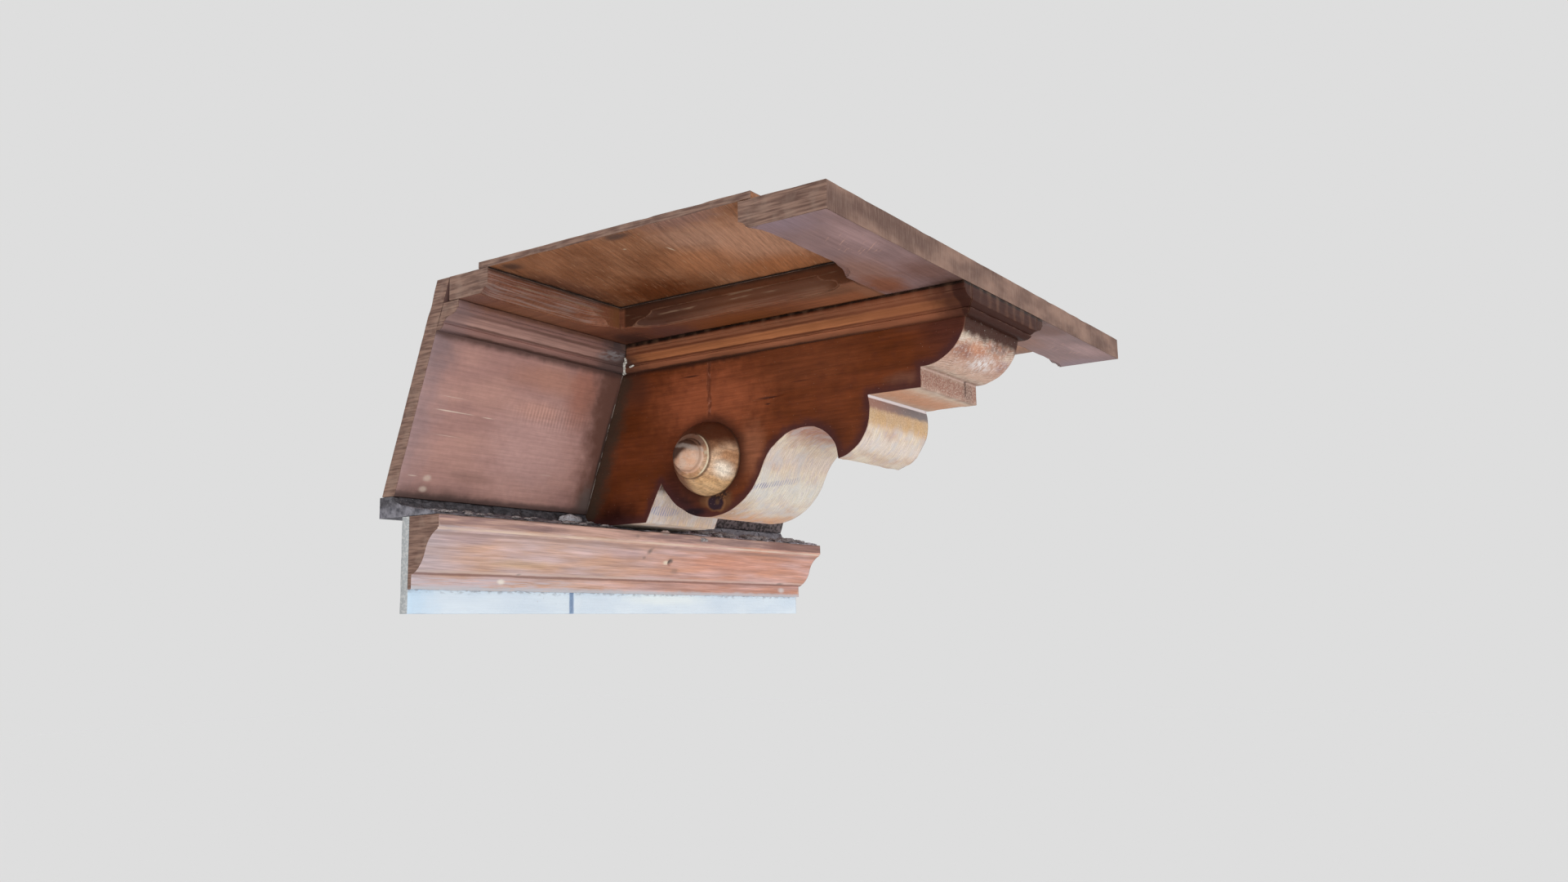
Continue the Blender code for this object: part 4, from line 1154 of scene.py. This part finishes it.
def run_of(outline, x_from, x_to):
    """A closed outline run along X."""
    bm = bmesh.new()
    face = bm.faces.new([bm.verts.new(spot(x_from, *point)) for point in outline])
    pushed = bmesh.ops.extrude_face_region(bm, geom=[face])["geom"]
    corners = [item for item in pushed if isinstance(item, bmesh.types.BMVert)]
    bmesh.ops.translate(bm, verts=corners, vec=((x_to - x_from) * MM, 0, 0))
    bmesh.ops.recalc_face_normals(bm, faces=bm.faces)
    return bm


sawn_outline = rounded(side_outline(welded("corbel")))
print("corbel outline points:", len(sawn_outline))

# %% [markdown]
# The corbel's checks are short splits along the grain, and one that climbs from the boss to
# the moulding. Each is a crooked line on the side face. The dicing planes stand closer
# together round them, and vertices near the line sink, deepest in the middle.
# %% Corbel
CHECKS = [
    ([(213, 203), (210, 190), (214, 176), (209, 160), (213, 146), (209, 132)], 0.9),
    ([(168, 191), (184, 187), (203, 184)], 0.5),
    ([(284, 142), (300, 143), (316, 145), (328, 146)], 0.8),
    ([(300, 133), (308, 139)], 0.6),
    ([(336, 158), (372, 160)], 0.5),
]
KNOTS = [((217, 19), 17, 1.2), ((182, 10), 14, 0.8)]


def from_line(point, line):
    """Distance of a point from a crooked line, both as (reach, rise)."""
    nearest = 1e9
    for start, end in zip(line, line[1:]):
        run = Vector(end) - Vector(start)
        share = max(0.0, min(1.0, (point - Vector(start)).dot(run) / run.length_squared))
        nearest = min(nearest, (Vector(start) + run * share - point).length)
    return nearest


def corbel_depth(tree):
    """Wear, checks and knots of the corbel."""
    wear = worn(tree, 1.6, 5, 3.0)

    def depth_at(place, normal):
        depth = wear(place, normal)
        if abs(normal.x) > 0.7:
            point = Vector((place.y, place.z))
            if place.x < 0:
                for line, deep in CHECKS:
                    depth += deep * exp(-(from_line(point, line) / 1.1) ** 2)
                for middle, size, deep in KNOTS:
                    away = (point - Vector(middle)).length / size
                    depth += deep * max(0.0, 1 - away * away)
            depth += 0.25 * (1 + wander(place, (40, 90, 9), 8.0))
        else:
            depth += 0.2 * (1 + wander(place, (7, 14, 14), 12.0))
        return depth
    return depth_at


bm = run_of(sawn_outline, -half_width, half_width)
tree = arris_tree(bm)
soften(bm, 1.0)
reaches = steps(-BUILT_IN_MM, TIP_REACH, 5)[1:-1] + steps(205, 218, 1) + steps(284, 328, 2)
rises = steps(0, corbel_top, 5)[1:-1] + steps(138, 148, 1) + steps(184, 191, 1)
dice(bm, 0, steps(-half_width, half_width, 6)[1:-1])
dice(bm, 1, sorted(set(reaches)))
dice(bm, 2, sorted(set(rises)))
press_in(bm, corbel_depth(tree))
piece("carved_corbel", bm, corbel_finish, "corbel", tree)

# %% [markdown]
# The bosses came off a lathe. Their profile is read from the solid, one ring of vertices at a
# time, rounded in the same way, and spun again with many more steps. Fine ridges stay where
# the gouge stopped, and a few dents come from the ladders of later painters.
# %% Turned bosses
BOSS_STEPS = 96


def boss_profile(node):
    """The profile as (radius, height), the axis as (reach, rise), and where the foot stands."""
    low, high = (in_mm(corner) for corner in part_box(node))
    axis = Vector(((low.y + high.y) / 2, (low.z + high.z) / 2))
    foot = min(abs(low.x), abs(high.x))
    rings = set()
    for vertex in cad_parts[node].data.vertices:
        place = in_mm(vertex.co)
        rings.add((round(abs(place.x) - foot, 1), round((place.yz - axis).length, 1)))
    ordered = sorted(rings, key=lambda ring: (ring[0], -ring[1]))
    profile = [Vector((radius, height)) for height, radius in ordered if radius > 0.5 or height > 1]
    return profile, axis, foot


def turned_boss(node, name, material, side):
    """A boss spun about its own axis, which lies along X."""
    profile, axis, foot = boss_profile(node)
    line = rounded(profile, parts=3, closed=False)
    line = [point for i, point in enumerate(line) if i == 0 or (point - line[i - 1]).length > 0.05]
    bm = bmesh.new()
    rings = []
    for radius, height in line[:-1]:
        ring = []
        for k in range(BOSS_STEPS):
            angle = 2 * pi * k / BOSS_STEPS
            ring.append(bm.verts.new(spot(side * (foot + height), axis.x + radius * cos(angle),
                                          axis.y + radius * sin(angle))))
        rings.append(ring)
    nose = bm.verts.new(spot(side * (foot + line[-1].y), *axis))
    bridge(bm, rings)
    for k in range(BOSS_STEPS):
        bm.faces.new((rings[-1][k - 1], rings[-1][k], nose))
    bm.faces.new(rings[0])
    bmesh.ops.recalc_face_normals(bm, faces=bm.faces)

    def depth_at(place, normal):
        height = abs(place.x) - foot
        if height < 0.5:
            return 0.0
        ridge = 0.08 * sin(height * 2.4)
        dent = max(0.0, wander(place, (9, 9, 9), 21.0 + side) - 0.25)
        return 0.15 + ridge + 1.1 * dent
    press_in(bm, depth_at)
    return piece(name, bm, material, node)


turned_boss("turned_boss_left", "worn_boss_left", boss_finish, -1)
turned_boss("turned_boss_right", "worn_boss_right", boss_finish, 1)

# %% [markdown]
# Boards, rails and panels are plain planks. They get the plain treatment, with cells a little
# longer along the wall than across it.
# %% Boards, rails and panels
for hand in ("left", "right"):
    aged(f"frieze_board_{hand}", f"worn_frieze_board_{hand}", board_finish,
         (8, 6, 6))
    aged(f"soffit_panel_{hand}", f"worn_panel_{hand}", panel_finish,
         (10, 10, 10))
aged("soffit_wall_rail", "worn_wall_rail", soffit_finish, (8, 5, 5))
aged("soffit_outer_rail", "worn_outer_rail", rail_finish, (8, 8, 8))
aged("soffit_board_over_corbel", "worn_cross_board", soffit_finish, (8, 6, 6))

# %% [markdown]
# Where the panels lie on the frame, a hundred years of soot and spider web have filled the
# corner with a thin black line. It is a crooked cord along the three inner edges of each
# coffer, and it closes the gap that daylight would show through.
# %% Grime in the coffers
CORD_SIDES = 6


def soot():
    """Black soot and dust."""
    f = Finish("black_soot", 0.95, gloss=0.05)
    dust = f.noise((4, 4, 4), 3, 3)
    f.colour = f.mix(dust, (0.010, 0.006, 0.005), (0.050, 0.034, 0.028))
    f.height = dust * 0.8
    return f.done()


def top_corners(node):
    """The corners of a rail's upper face, in millimetres."""
    places = [in_mm(vertex.co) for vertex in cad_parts[node].data.vertices]
    return [place for place in places if place.z > soffit_top - 0.2]


def cord(bm, start, end, thick):
    """A crooked cord with six sides, closed at both ends."""
    run = Vector(end) - Vector(start)
    count = ceil(run.length / 4)
    across = Vector((run.y, -run.x, 0)).normalized()
    rings = []
    for i in range(count + 1):
        middle = Vector(start) + run * (i / count)
        stray = 0.9 + 0.4 * noise.noise(middle / 20)
        ring = []
        for k in range(CORD_SIDES):
            angle = 2 * pi * k / CORD_SIDES
            corner = middle + (across * cos(angle) + Vector((0, 0, sin(angle)))) * (thick * stray)
            ring.append(bm.verts.new(spot(*corner)))
        rings.append(ring)
    bridge(bm, rings)
    bm.faces.new(rings[0])
    bm.faces.new(rings[-1])


wall_edge = max(place.y for place in top_corners("soffit_wall_rail"))
cross_edge = max(abs(place.x) for place in top_corners("soffit_board_over_corbel") if place.y < 300)
outer_edge = min(place.y for place in top_corners("soffit_outer_rail"))
print("coffer from reach", wall_edge, "to", outer_edge, "and out from x", cross_edge)
bm = bmesh.new()
for side in (-1, 1):
    level = soffit_top - 0.2
    along, out = wall_edge + 0.4, side * (cross_edge + 0.4)
    cord(bm, (side * (cut_x - 1), along, level), (out, along, level), 1.0)
    cord(bm, (out, wall_edge, level), (out, outer_edge, level), 1.0)
piece("soot_in_coffer_corners", bm, soot())

# %% [markdown]
# The bed moulding was run with a plane in lengths and mitred at the corbel. Its profile is
# the solid's own. It is fine work, so its arrises get the smallest rounding, and it is diced
# finely enough for knocks to show along the edges.
# %% Bed moulding
for part, finish in (("board_left", board_bed_finish), ("board_right", board_bed_finish),
                     ("corbel_left", corbel_bed_finish), ("corbel_right", corbel_bed_finish),
                     ("tip", tip_bed_finish)):
    aged(f"bed_moulding_{part}", f"worn_bed_moulding_{part}", finish,
         (7, 7, 40), 0.5, 0.8)

# %% [markdown]
# Where the bed moulding turns from the board on to the corbel, the mitre had opened. Someone
# dabbed it full of white filler. It is a string of small lumps pressed into the corner, so
# it is made of little balls that noise has kneaded.
# %% Filler in the mitre


def lump(bm, middle, size, seed):
    """One kneaded lump; size is its half extent along X, reach and rise, in millimetres."""
    ball = bmesh.ops.create_icosphere(bm, subdivisions=3, radius=1.0)["verts"]
    for vertex in ball:
        swell = 1 + 0.45 * noise.noise(vertex.co * 1.3 + Vector((seed, 0, 0)))
        swell += 0.15 * noise.noise(vertex.co * 4 + Vector((0, seed, 0)))
        vertex.co = middle + Vector([vertex.co[i] * swell * size[i] * MM for i in range(3)])


def white_filler():
    """Chalky white filler, a little dirty."""
    f = Finish("white_filler", 0.8)
    dirt = f.noise((2.5, 2.5, 2.5), 3, 3)
    f.ground(dirt, (0.42, 0.40, 0.36), (0.80, 0.78, 0.72), 0.35, 0.6)
    f.height = dirt * 0.5
    return f.done()


MITRE_REACH = 65.7
MITRE = [(204.4, 7), (206, 10.4), (208.5, 12.4), (211.2, 13.4), (215.2, 16.1), (217.4, 19.8), (219.4, 28.3)]
FILLER_LUMPS = 40
bm = bmesh.new()
for i in range(FILLER_LUMPS):
    along = i / (FILLER_LUMPS - 1) * (len(MITRE) - 1.001)
    below, above = MITRE[int(along)], MITRE[int(along) + 1]
    share = along - int(along)
    rise = below[0] + (above[0] - below[0]) * share
    out = below[1] + (above[1] - below[1]) * share
    stray = 1.3 * noise.noise(Vector((i * 0.7, 3.1, 0.5)))
    middle = spot(-half_width - out + stray + 0.5, out + MITRE_REACH + stray - 0.5, rise)
    size = 1.3 + 1.5 * abs(noise.noise(Vector((i * 1.3, 0.2, 7.7))))
    lump(bm, middle, (size, size, size), i)
for reach, rise in ((89.5, 210.5), (92, 211), (94, 211.6)):
    lump(bm, spot(-half_width - 13.5, reach, rise), (1.2, 2.0, 1.3), reach)
piece("filler_in_mitre", bm, white_filler())

# %% [markdown]
# The wall moulding is a fillet, a cyma and a skirt in one run, so its outline is rounded like
# the corbel's and run along the wall again. A nail was pulled out of it once. Its hole is a
# real pit, and there the dicing is seven times finer.
# %% Wall moulding
DENTS = [((33, -47), 4.5, 5.0), ((-16, -33), 4.0, 1.2), ((55, -59), 6.0, 0.8), ((350, -80), 7.0, 1.5)]
moulding_outline = rounded(side_outline(welded("wall_moulding")))
bm = run_of(moulding_outline, -cut_x, cut_x)
tree = arris_tree(bm)
soften(bm, 0.8)
xs = steps(-cut_x, cut_x, 7)[1:-1] + steps(27, 39, 1)
dice(bm, 0, sorted(set(xs)))
dice(bm, 2, steps(-53, -41, 1) + steps(-19, -8, 2.5))
moulding_wear = worn(tree, 1.2, 3.5, 6.0)


def moulding_depth(place, normal):
    """Wear of the wall moulding, its nail hole and its dents."""
    depth = moulding_wear(place, normal)
    if normal.y < -0.3 or normal.z < -0.3:
        for middle, size, deep in DENTS:
            away = (Vector((place.x, place.z)) - Vector(middle)).length / size
            depth += deep * max(0.0, 1 - away * away)
    return depth


press_in(bm, moulding_depth)
piece("worn_wall_moulding", bm, salmon_finish, "wall_moulding", tree)

# %% [markdown]
# Mortar is thrown in and left rough. Its top is broken into lumps at two sizes, and it has
# shrunk away under the boards in hollows. The lumps only go inwards, so that nothing grows
# through the wood that rests on it.
# %% Mortar


def mortar_depth(place, normal):
    """Lumps, and hollows under the boards, where the bed never quite filled."""
    if place.y < -2 or normal.z < -0.5:
        return 0.0
    lumps = 0.6 * wander(place, (16, 12, 12), 4.0) + 0.4 * wander(place, (6, 5, 5), 9.0)
    near_board = exp(-((place.y - 2) / 7) ** 2)
    hollow = max(0.0, wander(place, (13, 9, 9), 15.0) + 0.1)
    inside = 0.0 if abs(place.x) > cut_x - 1 else 1.0
    return inside * max(0.0, 2.4 + 3.6 * lumps + 7 * near_board * hollow)


bm = welded("mortar_bed")
dice_all(bm, (3.5, 3.5, 3.5))
press_in(bm, mortar_depth)
piece("crumbling_mortar", bm, mortar_finish, "mortar_bed")

# %% [markdown]
# Some mortar squeezed out and set in lumps on top of the bed, most of them to the right of
# the corbel. One pale lump sits close to the corbel's left side, and two flat crumbs stuck to
# the moulding's lip. They are small closed bodies, half sunk into what they lie on.
# %% Mortar lumps


def pale_mortar():
    """The same mortar where it dried pale and dusty."""
    f = Finish("pale_dusty_mortar", 0.9, gloss=0.1)
    grit = f.noise((2.0, 2.0, 2.0), 5, 4)
    f.ground(grit, (0.190, 0.165, 0.165), (0.440, 0.400, 0.400))
    f.stain(f.patch((-130, 20, 6), (32, 20, 16)) * f.fade(grit, 0.3, 0.5), (0.64, 0.66, 0.72))
    f.stain(f.patch((2, 76, -7), (20, 20, 20)) * 0.6, (0.46, 0.33, 0.29))
    f.height = grit * 1.2
    return f.done()


def bed_rise(reach):
    """How high the sloping top of the mortar bed stands."""
    return 9.5 - 0.19 * reach


def scatter(bm, seeds, xs, reaches, sizes, sunk, flat):
    """Lumps strewn over the bed; flat is their height as a share of their depth."""
    for seed in seeds:
        reach = random.uniform(*reaches)
        size = random.uniform(*sizes)
        middle = spot(random.uniform(*xs), reach, bed_rise(reach) - sunk)
        lump(bm, middle, (size * 1.3, size, size * flat), seed)

bm = bmesh.new()
random.seed(7)
lump(bm, spot(-130, 21, 7), (20, 6, 6), 1.0)
lump(bm, spot(2, 74, -6.2), (8, 3.4, 2.8), 2.0)
lump(bm, spot(84, 77.8, -13), (9, 1.8, 3.2), 3.0)
scatter(bm, range(46), (96, cut_x - 14), (16, 68), (4, 9), 0.5, 0.45)
scatter(bm, range(60, 84), (14 - cut_x, -96), (20, 66), (2.5, 5), 0.8, 0.4)
piece("mortar_lumps", bm, pale_mortar())

# %% [markdown]
# The wall's face is plaster under paint, smooth but not flat, with a chipped edge at the
# upright joint. The pointing in the joint is a strip of its own, a touch behind the face.
# %% Wall facing
for hand in ("left", "right"):
    aged(f"wall_facing_{hand}", f"painted_wall_{hand}", wall_finish, (8, 6, 4), 0.6, 0.8)
aged("wall_joint_pointing", "wall_joint", joint_finish, (3, 4, 4), 0.3, 0.5)
